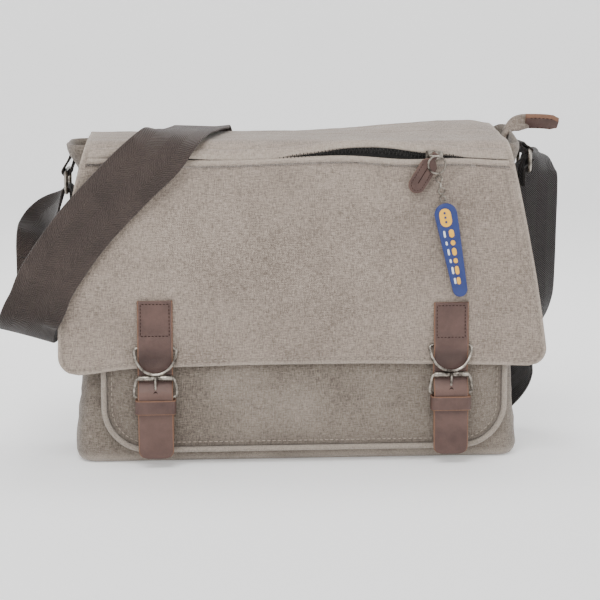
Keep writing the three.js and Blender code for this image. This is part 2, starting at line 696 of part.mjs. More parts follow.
const strapLeft = [
  [[-203.4, 0, 228], [0, 1, 0]],
  [[-203.4, 0, 240], [0, 1, 0]],
  [[-204.6, 0, 243.6], [0, 1, 0]],
  [[-207, 0, 244.6], [0, 1, 0]],
  [[-209.6, 0, 243.4], [0, 1, 0]],
  [[-210.8, 0, 240], [0, 1, 0]],
  [[-213.5, 2, 231], [-0.05, 1, 0]],
  [[-219, 12, 219], [-0.2, 0.98, 0]],
  [[-227, 32, 205], [-0.6, 0.8, 0]],
  [[-234, 52, 194], [-0.93, 0.35, 0]],
  [[-235, 59.5, 182], [-1, 0, 0]],
  [[-235, 60, 173], [-1, 0, 0]],
];
const strapBack = [
  [[-80.7, 60.5, 280.2], [-0.93, 0, -0.35]],
  [[-78.2, 61.2, 273], [-0.92, 0, -0.38]],
  [[-73.4, 62, 261], [-0.88, 0, -0.48]],
  [[-59, 63, 236], [-0.82, 0, -0.58]],
  [[-34, 64, 200], [-0.78, 0, -0.63]],
  [[2, 65, 154], [-0.75, 0, -0.66]],
  [[42, 66, 108], [-0.73, 0, -0.69]],
  [[84, 67, 70], [-0.66, 0, -0.75]],
  [[116, 68, 51], [-0.5, 0, -0.86]],
  [[124, 68, 46], [-0.5, 0, -0.86]],
];
const strapRight = [
  [[126.4, 68, 44.4], [-0.5, 0, -0.86]],
  [[134, 68.3, 40.6], [-0.43, 0, -0.9]],
  [[163, 70.5, 35], [-0.2, -0.2, -0.95]],
  [[195, 70.5, 37], [0, -0.4, -0.92]],
  [[213, 56, 54], [0.1, -0.7, -0.7]],
  [[222, 32, 80], [0, -0.9, -0.43]],
  [[223.5, 12, 106], [-0.35, -0.9, -0.2]],
  [[222, 2, 135], [-0.6, -0.8, 0]],
  [[222, 0, 170], [-0.6, -0.8, 0]],
  [[222, 0, 205], [-0.58, -0.81, 0]],
  [[222.5, 0, 232], [-0.45, -0.89, 0]],
  [[222.5, 0, 250], [-0.25, -0.97, 0]],
  [[221, 0, 262], [-0.1, -0.99, 0]],
  [[216, 0, 268.3], [0, -1, 0]],
  [[212, 0, 267], [0, -1, 0]],
  [[209, 0, 262.6], [0, -1, 0]],
  [[207, 0, 261.6], [0, -1, 0]],
  [[204.6, 0, 260.6], [0, -1, 0]],
  [[203.4, 0, 257], [0, -1, 0]],
  [[203.4, 0, 244], [0, -1, 0]],
];

// A flat band with a rectangular section, swept through its stations.
function webbing(stations, steps, width = WEBBING_WIDTH, thickness = WEBBING) {
  const line = pathOf(stations.map(([p]) => p));
  const across = new THREE.CatmullRomCurve3(stations.map(([, w]) => new THREE.Vector3(...w)));
  const rings = [];
  for (let k = 0; k <= steps; k++) {
    const share = k / steps;
    const p = line.getPoint(share);
    const t = line.getTangent(share);
    const w = across.getPoint(share);
    w.addScaledVector(t, -w.dot(t)).normalize();
    const out = t.clone().cross(w).multiplyScalar(thickness / 2);
    w.multiplyScalar(width / 2);
    rings.push([
      p.clone().sub(w).sub(out),
      p.clone().add(w).sub(out),
      p.clone().add(w).add(out),
      p.clone().sub(w).add(out),
    ]);
  }
  return skinRings(rings);
}
addMesh("strap_left_end", webbing(strapLeft, 44), "webbing");
addMesh("strap_front", webbing(strapToBack, 84), "webbing");
addMesh("strap_back", webbing(strapBack, 24), "webbing");
addMesh("strap_right_end", webbing(strapRight, 56), "webbing");

// --- Side rings and the webbing tabs that hold them ---

const SIDE_TAB = { half: 21, thickness: 1.6, loop: 3.6 };
function sideRing(side, sign) {
  const x = sign * SIDE_RING_X;
  const z = SIDE_RING_Z[side];
  const place = (a, b) => new THREE.Vector3(x, a, z + b);
  const curve = roundedRing(SIDE_RING_HALF.y, SIDE_RING_HALF.z, SIDE_RING_HALF.corner, place);
  addMesh("side_ring_" + side, closedWire(curve, SIDE_WIRE, 56), "metal");

  // The tab comes down from the gusset, round the ring's upper bar and back up; each stop is measured
  // from the bar, away from the bag and up.
  const { half, thickness, loop } = SIDE_TAB;
  const stops = [
    [-7.2, 16],
    [-6.6, 9],
    [-loop, 1],
    [-loop * 0.75, -loop * 0.7],
    [0, -loop],
    [loop * 0.75, -loop * 0.7],
    [loop, 1],
    [-1.6, 9.5],
    [-4.4, 16],
  ];
  const barZ = z + SIDE_RING_HALF.z;
  const tab = stops.map(([away, up]) => [[x + sign * away, 0, barZ + up], [0, 1, 0]]);
  addMesh("side_tab_" + side, webbing(tab, 24, 2 * half, thickness), "webbing");
}
sideRing("left", -1);
sideRing("right", 1);

// --- Top zip ---

const TOP_ZIP = { half: 192, outerY: 45.4, innerY: 1.2, outerZ: 267, innerZ: 272 };
function topTape(sign) {
  const shape = new THREE.Shape();
  shape.moveTo(sign * TOP_ZIP.outerY, TOP_ZIP.outerZ);
  shape.lineTo(sign * TOP_ZIP.innerY, TOP_ZIP.innerZ);
  shape.lineTo(sign * TOP_ZIP.innerY, TOP_ZIP.innerZ + 1);
  shape.lineTo(sign * TOP_ZIP.outerY, TOP_ZIP.outerZ + 1);
  shape.closePath();
  return strip(shape, -TOP_ZIP.half, TOP_ZIP.half);
}
addMesh("zip_tape_front", topTape(-1), "canvas");
addMesh("zip_tape_back", topTape(1), "canvas");
const TOP_SLIDER = { left: -188, right: -176, half: 5, low: 1.5, high: 5.5 };
const TOP_PULL = { left: -175.4, right: -146, half: 4, low: 2, high: 4 };
function onTopZip({ left, right, half, low, high }) {
  return box(left, right, -half, half, TOP_ZIP.innerZ + low, TOP_ZIP.innerZ + high);
}
addMesh("top_zip_slider", onTopZip(TOP_SLIDER), "metal");
addMesh("top_zip_pull", onTopZip(TOP_PULL), "leather");

// The zip's end stands up out of the bag, bends over to the right and ends in a folded leather tab.
const TAIL = { width: 15, thickness: 3.6, tabWidth: 16, tabThickness: 5 };
const tailStations = [
  [[189.5, 12, 277], [0, 1, 0]],
  [[189, 12, 287], [0, 1, 0]],
  [[191.5, 12, 295], [0, 0.95, 0.3]],
  [[198, 12, 300.5], [0, 0.85, 0.5]],
  [[208, 12, 302], [0, 0.78, 0.62]],
];
const tailTabStations = [
  [[210, 12, 302], [0, 0.78, 0.62]],
  [[226, 12, 300.6], [0, 0.78, 0.62]],
  [[240, 12, 299.6], [0, 0.78, 0.62]],
];
addMesh("zip_tail", webbing(tailStations, 12, TAIL.width, TAIL.thickness), "canvas");
addMesh("zip_tail_tab", webbing(tailTabStations, 4, TAIL.tabWidth, TAIL.tabThickness), "leather");

export default bag;
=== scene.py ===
"""Looks of a canvas messenger bag: washed canvas, leather closures, webbing strap and a small rubber tag."""
import math

import bmesh
import bpy
import numpy as np
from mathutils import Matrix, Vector, noise


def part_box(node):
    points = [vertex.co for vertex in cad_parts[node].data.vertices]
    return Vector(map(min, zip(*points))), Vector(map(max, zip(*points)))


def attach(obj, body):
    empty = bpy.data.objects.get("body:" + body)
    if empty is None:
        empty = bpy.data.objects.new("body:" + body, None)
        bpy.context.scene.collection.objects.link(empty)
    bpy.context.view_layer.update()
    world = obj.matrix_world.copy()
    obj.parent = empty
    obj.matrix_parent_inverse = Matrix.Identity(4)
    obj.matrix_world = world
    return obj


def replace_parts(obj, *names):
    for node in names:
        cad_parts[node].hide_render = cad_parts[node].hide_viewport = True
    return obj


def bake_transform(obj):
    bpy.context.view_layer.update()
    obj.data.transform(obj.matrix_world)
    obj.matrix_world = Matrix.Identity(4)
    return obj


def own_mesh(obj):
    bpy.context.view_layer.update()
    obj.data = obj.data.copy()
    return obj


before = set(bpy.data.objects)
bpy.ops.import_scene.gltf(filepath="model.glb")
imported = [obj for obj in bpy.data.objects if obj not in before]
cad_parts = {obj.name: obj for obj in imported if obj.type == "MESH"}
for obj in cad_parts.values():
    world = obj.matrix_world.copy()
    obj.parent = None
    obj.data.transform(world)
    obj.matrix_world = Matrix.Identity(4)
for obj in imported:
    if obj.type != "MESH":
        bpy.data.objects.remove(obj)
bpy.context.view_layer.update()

MM = 0.001
SIDES = ("left", "right")


# --- Camera ---

CAMERA_AZIMUTH, CAMERA_ELEVATION, CAMERA_DISTANCE = -4.0, 9.0, 1.6
CAMERA_TARGET = (0.002, 0.0, 0.1385)
CAMERA_LENS = 104.7


def add_camera():
    """A long lens in front of the bag, slightly to its left and a little above."""
    a, e = math.radians(CAMERA_AZIMUTH), math.radians(CAMERA_ELEVATION)
    away = Vector((math.sin(a) * math.cos(e), -math.cos(a) * math.cos(e), math.sin(e)))
    data = bpy.data.cameras.new("camera")
    data.lens = CAMERA_LENS
    camera = bpy.data.objects.new("camera", data)
    camera.location = Vector(CAMERA_TARGET) + away * CAMERA_DISTANCE
    camera.rotation_euler = away.to_track_quat("Z", "Y").to_euler()
    bpy.context.collection.objects.link(camera)
    bpy.context.scene.camera = camera


add_camera()


# --- Materials ---

class Nodes:
    """A new material with short calls for its nodes."""

    def __init__(self, name):
        self.material = bpy.data.materials.new(name)
        self.material.use_nodes = True
        self.tree = self.material.node_tree
        self.shader = self.tree.nodes["Principled BSDF"]

    def add(self, kind, **sockets):
        node = self.tree.nodes.new("ShaderNode" + kind)
        for key, value in sockets.items():
            if key in node.inputs:
                self.feed(node.inputs[key], value)
            else:
                setattr(node, key, value)
        return node

    def feed(self, socket, value):
        if isinstance(value, bpy.types.NodeSocket):
            self.tree.links.new(value, socket)
        else:
            socket.default_value = value

    def noise(self, scale, detail=3.0, where=None, roughness=0.55):
        node = self.add("TexNoise", Scale=scale, Detail=detail, Roughness=roughness)
        self.feed(node.inputs["Vector"], where or self.place())
        return node.outputs["Fac"]

    def place(self):
        return self.add("TexCoord").outputs["Object"]

    def uv(self):
        return self.add("UVMap", uv_map="UVMap").outputs["UV"]

    def math(self, operation, a, b=0.0, c=0.0):
        node = self.tree.nodes.new("ShaderNodeMath")
        node.operation = operation
        for k, value in enumerate((a, b, c)):
            self.feed(node.inputs[k], value)
        return node.outputs[0]

    def split(self, vector):
        node = self.add("SeparateXYZ")
        self.feed(node.inputs[0], vector)
        return node.outputs

    def ramp(self, value, low, high, a, b):
        node = self.add("MapRange")
        for key, v in (("Value", value), ("From Min", low), ("From Max", high), ("To Min", a), ("To Max", b)):
            self.feed(node.inputs[key], v)
        return node.outputs[0]

    def vary(self, value, amount, base):
        """Adds a noise to a shade, half of amount either way."""
        return self.math("MULTIPLY_ADD", self.ramp(value, 0.3, 0.7, -0.5, 0.5), amount, base)

    def mix(self, share, a, b):
        node = self.tree.nodes.new("ShaderNodeMix")
        node.data_type = "RGBA"
        self.feed(node.inputs["Factor"], share)
        self.feed(node.inputs[6], a)
        self.feed(node.inputs[7], b)
        return node.outputs[2]

    def attribute(self, name):
        return self.add("Attribute", attribute_name=name).outputs["Fac"]

    def bump(self, height, strength, distance):
        node = self.add("Bump")
        self.feed(node.inputs["Height"], height)
        self.feed(node.inputs["Strength"], strength)
        self.feed(node.inputs["Distance"], distance)
        self.tree.links.new(node.outputs[0], self.shader.inputs["Normal"])

    def done(self, **sockets):
        for key, value in sockets.items():
            self.feed(self.shader.inputs[key.replace("_", " ")], value)
        return self.material


def rgb(code):
    """A colour from its sRGB code, as linear values."""
    parts = [int(code[k:k + 2], 16) / 255 for k in (0, 2, 4)]
    return (*(p / 12.92 if p <= 0.04045 else ((p + 0.055) / 1.055) ** 2.4 for p in parts), 1.0)


def plain_weave(n, pitch):
    """The height of a plain weave, from two sets of crossing threads, on the piece's own map in metres."""
    x, y, _ = n.split(n.uv())
    warp = n.math("SINE", n.math("MULTIPLY", x, 2 * math.pi / pitch))
    weft = n.math("SINE", n.math("MULTIPLY", y, 2 * math.pi / pitch))
    return n.math("MULTIPLY", warp, weft)


def drawn_out(n, scale):
    """The piece's own map, scaled so that a noise on it is drawn out along one set of threads."""
    mapping = n.add("Mapping", Scale=scale)
    n.feed(mapping.inputs["Vector"], n.uv())
    return mapping.outputs[0]


def canvas(name="canvas", dark="6b6057", light="a4978b"):
    """Washed canvas: uneven threads both ways, cloudy patches, pale worn edges with some painted highlights, and
    painted shade from the shade mark.
    """
    n = Nodes(name)
    threads = plain_weave(n, 0.0021)
    slubs = n.noise(420.0, 3.0, drawn_out(n, (1.0, 6.0, 1.0)), 0.7)
    speckle = n.noise(760.0, 4.0, roughness=0.8)
    patches = n.noise(26.0, 5.0, roughness=0.65)
    wash = n.noise(7.0, 3.0)
    weft = n.noise(170.0, 2.0, drawn_out(n, (1.0, 6.0, 1.0)), 0.75)
    warp = n.noise(170.0, 2.0, drawn_out(n, (6.0, 1.0, 1.0)), 0.75)
    shade = n.ramp(speckle, 0.32, 0.68, 0.3, 0.7)
    shade = n.vary(weft, 0.75, shade)
    shade = n.vary(warp, 0.75, shade)
    shade = n.vary(slubs, 0.45, shade)
    shade = n.vary(patches, 0.28, shade)
    shade = n.vary(wash, 0.25, shade)
    colour = n.mix(shade, rgb(dark), rgb(light))
    # Pale wear, and painted highlights where the mark carries them
    worn_and_lit = n.math("MULTIPLY", n.attribute("wear_and_highlight"), n.ramp(speckle, 0.3, 0.6, 0.3, 0.8))
    colour = n.mix(worn_and_lit, colour, rgb("b6aa9d"))
    # Painted shade: the canvas darkens where the shade mark says
    painted_shade = n.math("MULTIPLY", n.attribute("shade"), 0.55)
    colour = n.mix(painted_shade, colour, rgb("4a433e"))
    height = n.math("MULTIPLY_ADD", threads, 0.35, n.math("MULTIPLY", speckle, 1.2))
    height = n.math("MULTIPLY_ADD", patches, 1.5, height)
    n.bump(height, 0.55, 0.0006)
    return n.done(Base_Color=colour, Roughness=0.93, Sheen_Weight=0.25, Sheen_Roughness=0.5,
                  Specular_IOR_Level=0.15)


def webbing():
    """Heavy webbing in a herringbone, with a little fuzz."""
    n = Nodes("webbing")
    x, y, _ = n.split(n.uv())
    # Herringbone: diagonals that turn back at each stripe across the width
    stripe = n.math("PINGPONG", x, 0.0127)
    slant = n.math("MULTIPLY_ADD", stripe, 0.8, y)
    ribs = n.math("SINE", n.math("MULTIPLY", slant, 2 * math.pi / 0.0021))
    edge = n.math("SINE", n.math("MULTIPLY", x, 2 * math.pi / 0.0018))
    fuzz = n.noise(1100.0, 3.0, roughness=0.7)
    broad = n.noise(38.0, 3.0)
    shade = n.math("MULTIPLY_ADD", ribs, 0.22, n.ramp(fuzz, 0.3, 0.7, 0.1, 0.9))
    shade = n.vary(broad, 0.35, shade)
    shade = n.math("MULTIPLY_ADD", edge, 0.16, shade)
    colour = n.mix(shade, rgb("2b2320"), rgb("4b403b"))
    # Painted shade: the webbing darkens where the shade mark says
    colour = n.mix(n.math("MULTIPLY", n.attribute("shade"), 0.8), colour, rgb("120d0c"))
    height = n.math("MULTIPLY_ADD", fuzz, 0.6, ribs)
    n.bump(height, 0.6, 0.0005)
    return n.done(Base_Color=colour, Roughness=0.82, Sheen_Weight=0.2, Specular_IOR_Level=0.25)


def leather():
    """Brown leather with a cell grain, creases, rubbed spots and painted shade from the shade mark."""
    n = Nodes("leather")
    cells = n.add("TexVoronoi", Scale=900.0)
    n.feed(cells.inputs["Vector"], n.place())
    grain = cells.outputs["Distance"]
    creases = n.noise(260.0, 5.0, roughness=0.7)
    patches = n.noise(45.0, 4.0)
    shade = n.ramp(patches, 0.3, 0.7, 0.25, 0.8)
    shade = n.vary(creases, 0.3, shade)
    colour = n.mix(shade, rgb("3b2823"), rgb("5f4841"))
    colour = n.mix(n.math("MULTIPLY", n.attribute("wear_and_highlight"), 0.5), colour, rgb("7c6055"))
    # Painted shade: the leather darkens where the shade mark says
    colour = n.mix(n.math("MULTIPLY", n.attribute("shade"), 0.75), colour, rgb("2b1c18"))
    n.bump(n.math("MULTIPLY_ADD", creases, 1.5, grain), 0.3, 0.0004)
    return n.done(Base_Color=colour, Roughness=n.ramp(creases, 0.3, 0.7, 0.42, 0.6), Specular_IOR_Level=0.4)


def raw_edge():
    """The raw, fibrous edge of cut leather."""
    n = Nodes("leather_edge")
    fibres = n.noise(1500.0, 3.0)
    broad = n.noise(120.0, 3.0)
    shade = n.math("MULTIPLY_ADD", broad, 0.5, n.ramp(fibres, 0.3, 0.7, 0.0, 0.6))
    colour = n.mix(shade, rgb("553a2e"), rgb("83604a"))
    n.bump(fibres, 0.4, 0.0003)
    return n.done(Base_Color=colour, Roughness=0.8)


def metal():
    """Tarnished nickel with fine scratches."""
    n = Nodes("antique_metal")
    tarnish = n.noise(180.0, 4.0)
    scratches = n.noise(1400.0, 2.0)
    colour = n.mix(n.ramp(tarnish, 0.35, 0.6, 0.0, 1.0), rgb("453f3a"), rgb("a49d93"))
    n.bump(scratches, 0.12, 0.0002)
    return n.done(Base_Color=colour, Metallic=1.0, Roughness=n.ramp(scratches, 0.3, 0.7, 0.22, 0.42))


def cloth(name, dark, light, pitch=0.0009, rough=0.85):
    """A plain woven cloth, such as lining, tape or thread."""
    n = Nodes(name)
    threads = plain_weave(n, pitch)
    fuzz = n.noise(900.0, 3.0)
    broad = n.noise(30.0, 3.0)
    shade = n.math("MULTIPLY_ADD", threads, 0.3, n.ramp(fuzz, 0.3, 0.7, 0.0, 0.8))
    colour = n.mix(n.math("MULTIPLY_ADD", broad, 0.3, shade), rgb(dark), rgb(light))
    n.bump(n.math("ADD", threads, fuzz), 0.4, 0.0003)
    return n.done(Base_Color=colour, Roughness=rough, Specular_IOR_Level=0.2)


def rubber(name, dark, light):
    """Moulded rubber, faintly dusty."""
    n = Nodes(name)
    dust = n.noise(500.0, 4.0)
    broad = n.noise(60.0, 2.0)
    colour = n.mix(n.math("MULTIPLY_ADD", broad, 0.5, n.math("MULTIPLY", dust, 0.5)), rgb(dark), rgb(light))
    n.bump(dust, 0.15, 0.0002)
    return n.done(Base_Color=colour, Roughness=n.ramp(dust, 0.3, 0.7, 0.35, 0.55))


CANVAS = canvas()
# Painted shade: a darker copy of the same canvas for the body and pocket, which sit low and under the flap
SHADED_CANVAS = canvas("canvas_painted_shade", dark="544b43", light="8a8075")
# Painted shade: a still darker copy of the canvas for the piping, which catches the light
SHADED_PIPING = canvas("canvas_piping", dark="4a413a", light="746a60")
WEBBING = webbing()
LEATHER = leather()
EDGE = raw_edge()
METAL = metal()
LINING = cloth("lining", "1b1817", "3a3532")
TAPE = cloth("zip_tape", "0b0b0b", "242322", 0.0006)
COIL = cloth("zip_coil", "111111", "33312f", 0.0004, 0.45)
THREAD = cloth("canvas_thread", "857a6f", "a69b8e", 0.0003)
DARK_THREAD = cloth("leather_thread", "1d1310", "3b2a24", 0.0003)
BLUE = rubber("rubber_blue", "141f4c", "243a80")
YELLOW = rubber("rubber_yellow", "d79a1f", "f3bd3c")
WHITE = rubber("rubber_white", "c9cdd2", "eef0f2")


# --- Mesh helpers ---

def smooth(value):
    """Eases from 0 to 1 as value goes from 0 to 1."""
    value = np.clip(value, 0.0, 1.0)
    return value * value * (3 - 2 * value)


def wrinkle(points, scale, seed=0.0):
    """Smooth noise from -1 to 1 at each point, in metres."""
    shift = Vector((seed * 13.7, seed * 7.1, seed * 3.3))
    flat = np.asarray(points).reshape(-1, 3)
    values = [noise.noise(Vector(p) * scale + shift) for p in flat.tolist()]
    return np.array(values).reshape(np.asarray(points).shape[:-1])


def link(name, mesh, materials, body):
    """Puts a mesh into the scene, on a body and in a slot of materials."""
    obj = bpy.data.objects.new(name, mesh)
    bpy.context.collection.objects.link(obj)
    for material in materials if isinstance(materials, (list, tuple)) else [materials]:
        mesh.materials.append(material)
    mesh.shade_smooth()
    if body:
        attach(obj, body)
    return obj


def set_points(mesh, name, values):
    data = mesh.attributes.new(name, "FLOAT", "POINT").data
    data.foreach_set("value", np.asarray(values, np.float32).ravel())


def grid(name, points, uv, wrap=False, caps=False, marks=None):
    """A mesh from rows of points. wrap joins the last column to the first; caps close the two ends."""
    points = np.asarray(points, float)
    rows, columns = points.shape[:2]
    vertices = points.reshape(-1, 3)
    number = np.arange(rows * columns).reshape(rows, columns)
    across = columns if wrap else columns - 1
    faces, corners = [], []
    uv = np.asarray(uv, float)
    for i in range(rows - 1):
        for k in range(across):
            l = (k + 1) % columns
            faces.append((number[i, k], number[i, l], number[i + 1, l], number[i + 1, k]))
            end = uv[i, l] if l else uv[i, k]
            far = uv[i + 1, l] if l else np.array([uv[i, k, 0], uv[i + 1, k, 1]])
            corners += [uv[i, k], end, far, uv[i + 1, k]]
    if caps:
        for row, order in ((0, slice(None, None, -1)), (rows - 1, slice(None))):
            ring = number[row][order]
            faces.append(tuple(ring))
            corners += [uv[row, j % columns] for j in range(columns)]
    mesh = bpy.data.meshes.new(name)
    mesh.from_pydata(vertices.tolist(), [], [tuple(int(v) for v in f) for f in faces])
    layer = mesh.uv_layers.new(name="UVMap")
    layer.data.foreach_set("uv", np.asarray(corners, np.float32).ravel())
    for key, values in (marks or {}).items():
        set_points(mesh, key, values)
    mesh.update()
    return mesh


def thicken(obj, thickness, offset=-1.0):
    """Gives a sheet a thickness, inwards unless offset says otherwise, as plain mesh."""
    modifier = obj.modifiers.new("thickness", "SOLIDIFY")
    modifier.thickness = thickness
    modifier.offset = offset
    graph = bpy.context.evaluated_depsgraph_get()
    mesh = bpy.data.meshes.new_from_object(obj.evaluated_get(graph))
    obj.modifiers.clear()
    obj.data = mesh


def lengths(points):
    """How far along a line each of its points is."""
    return np.concatenate([[0.0], np.cumsum(np.linalg.norm(np.diff(points, axis=0), axis=1))])


def spline(points, count):
    """Evenly numbered points on a smooth curve through the given ones."""
    points = np.asarray(points, float)
    padded = np.vstack([2 * points[0] - points[1], points, 2 * points[-1] - points[-2]])
    out = []
    for t in np.linspace(0, len(points) - 1, count):
        k = min(int(t), len(points) - 2)
        a, b, c, d = padded[k:k + 4]
        f = t - k
        square, cube = 2 * a - 5 * b + 4 * c - d, 3 * b - a - 3 * c + d
        out.append(0.5 * (2 * b + (c - a) * f + square * f ** 2 + cube * f ** 3))
    return np.array(out)


def resample(points, step):
    """The same line with points about one step apart."""
    along = lengths(points)
    count = max(int(along[-1] / step), 2)
    return np.array([[np.interp(t, along, points[:, k]) for k in range(points.shape[1])]
                     for t in np.linspace(0, along[-1], count + 1)])


def section(half, thick, bulge, across):
    """A flat band's cross-section as (across, out) pairs, with rounded edges, anticlockwise."""
    r = thick / 2
    flat = np.linspace(-half + r, half - r, across)
    crown = bulge * (1 - (flat / half) ** 2)
    top = np.stack([flat, r + crown], 1)
    low = np.stack([flat, -r + crown], 1)[::-1]
    turn = np.linspace(0, math.pi, 5)[1:-1]
    right = np.stack([half - r + r * np.sin(turn), r * np.cos(turn)], 1)
    left = np.stack([-half + r - r * np.sin(turn), -r * np.cos(turn)], 1)
    return np.vstack([top, right, low, left])


def band(name, centre, across, half, thick, materials, body, bulge=0.0, marks=None, columns=14,
         half_at=None):
    """A flat band swept along a centre line; across is the direction of its width at each point."""
    centre = np.asarray(centre, float)
    across = np.asarray(across, float)
    along = np.gradient(centre, axis=0)
    along /= np.linalg.norm(along, axis=1)[:, None]
    across = across - (across * along).sum(1)[:, None] * along
    across /= np.linalg.norm(across, axis=1)[:, None]
    out = np.cross(along, across)
    travelled = lengths(centre)
    points, uv = [], []
    for k in range(len(centre)):
        wide = half_at(k) if half_at else half
        shape = section(wide, thick, bulge, columns)
        points.append(centre[k] + shape[:, :1] * across[k] + shape[:, 1:] * out[k])
        uv.append(np.stack([shape[:, 0] + half, np.full(len(shape), travelled[k])], 1))
    count = len(points[0])
    values = {key: np.repeat(np.asarray(v)[:, None], count, 1) for key, v in (marks or {}).items()}
    mesh = grid(name, points, uv, wrap=True, caps=True, marks=values)
    if len(materials) > 1:
        # The second material is on both edges and on the caps
        last = (len(points) - 1) * count
        for n, face in enumerate(mesh.polygons):
            k = n % count
            if n >= last or columns - 1 <= k < columns + 3 or k >= 2 * columns + 2:
                face.material_index = 1
    return link(name, mesh, materials, body)


def tube(name, points, radius, material, body):
    """A round cord or wire along a line, with flat ends."""
    curve = bpy.data.curves.new(name, "CURVE")
    curve.dimensions = "3D"
    curve.bevel_depth = radius
    curve.bevel_resolution = 4
    curve.use_fill_caps = True
    path = curve.splines.new("POLY")
    points = np.asarray(points, float)
    path.points.add(len(points) - 1)
    for point, place in zip(path.points, points):
        point.co = (*place, 1.0)
    path.use_smooth = True
    obj = bpy.data.objects.new(name, curve)
    bpy.context.collection.objects.link(obj)
    mesh = bpy.data.meshes.new_from_object(obj)
    bpy.data.objects.remove(obj)
    return link(name, mesh, material, body)


def pill(centre, along, out, length, width, height):
    """The points and faces of one stitch: a low, rounded grain of thread."""
    along = along / np.linalg.norm(along)
    out = out - (out @ along) * along
    out /= np.linalg.norm(out)
    side = np.cross(along, out)
    points = []
    for share, swell in ((-0.5, 0.35), (-0.25, 0.9), (0.0, 1.0), (0.25, 0.9), (0.5, 0.35)):
        for turn in np.arange(6) * math.pi / 3:
            points.append(centre + along * length * share
                          + side * math.cos(turn) * width / 2 * swell + out * math.sin(turn) * height * swell)
    faces = [(6 * r + k, 6 * r + (k + 1) % 6, 6 * r + 6 + (k + 1) % 6, 6 * r + 6 + k)
             for r in range(4) for k in range(6)]
    return points, faces + [tuple(range(5, -1, -1)), tuple(range(24, 30))]


def stitches(name, line, outs, material, body, length=0.0032, gap=0.0015, width=0.0009,
             height=0.0004):
    """A row of stitches along a line, each lying on the surface whose outward direction is given."""
    line, outs = np.asarray(line, float), np.asarray(outs, float)
    travelled = lengths(line)
    points, faces = [], []
    at = gap
    while at + length < travelled[-1]:
        a, b, m = (np.array([np.interp(t, travelled, line[:, k]) for k in range(3)])
                   for t in (at, at + length, at + length / 2))
        out = np.array([np.interp(at + length / 2, travelled, outs[:, k]) for k in range(3)])
        more, rings = pill(m, b - a, out, length, width, height)
        faces += [tuple(v + len(points) for v in f) for f in rings]
        points += more
        at += length + gap
    mesh = bpy.data.meshes.new(name)
    mesh.from_pydata([tuple(p) for p in points], [], faces)
    return link(name, mesh, material, body)


# --- Canvas body: a lofted shell that sags and wrinkles ---

BODY_HALF_WIDTH = (0.202, 0.196)  # at the bottom and the top
BODY_HALF_DEPTH = 0.050
BODY_CORNER = 0.020
BODY_TOP = 0.2845
BODY_CLOTH = 0.0018


def body_half_width(z):
    low, high = BODY_HALF_WIDTH
    return low + (high - low) * np.clip(z / 0.285, 0, 1)


def ring_point(turn, half_x, half_y, corner):
    """A point on a rounded rectangle; turn runs from 0 to 1, from the back's middle by the left."""
    straight_x, straight_y, arc = 2 * (half_x - corner), 2 * (half_y - corner), math.pi / 2 * corner
    total = 2 * (straight_x + straight_y) + 4 * arc
    s = (turn % 1.0) * total
    legs = ((straight_x / 2, "back"), (arc, "bl"), (straight_y, "left"), (arc, "fl"), (straight_x, "front"),
            (arc, "fr"), (straight_y, "right"), (arc, "br"), (straight_x / 2, "back2"))
    for leg, name in legs:
        if s <= leg:
            break
        s -= leg
    a = s / corner
    x, y = half_x - corner, half_y - corner
    return {"back": (-s, half_y), "bl": (-x - corner * math.sin(a), y + corner * math.cos(a)),
            "left": (-half_x, y - s), "fl": (-x - corner * math.cos(a), -y - corner * math.sin(a)),
            "front": (-x + s, -half_y), "fr": (x + corner * math.sin(a), -y - corner * math.cos(a)),
            "right": (half_x, -y + s), "br": (x + corner * math.cos(a), y + corner * math.sin(a)),
            "back2": (x - s, half_y)}[name], total


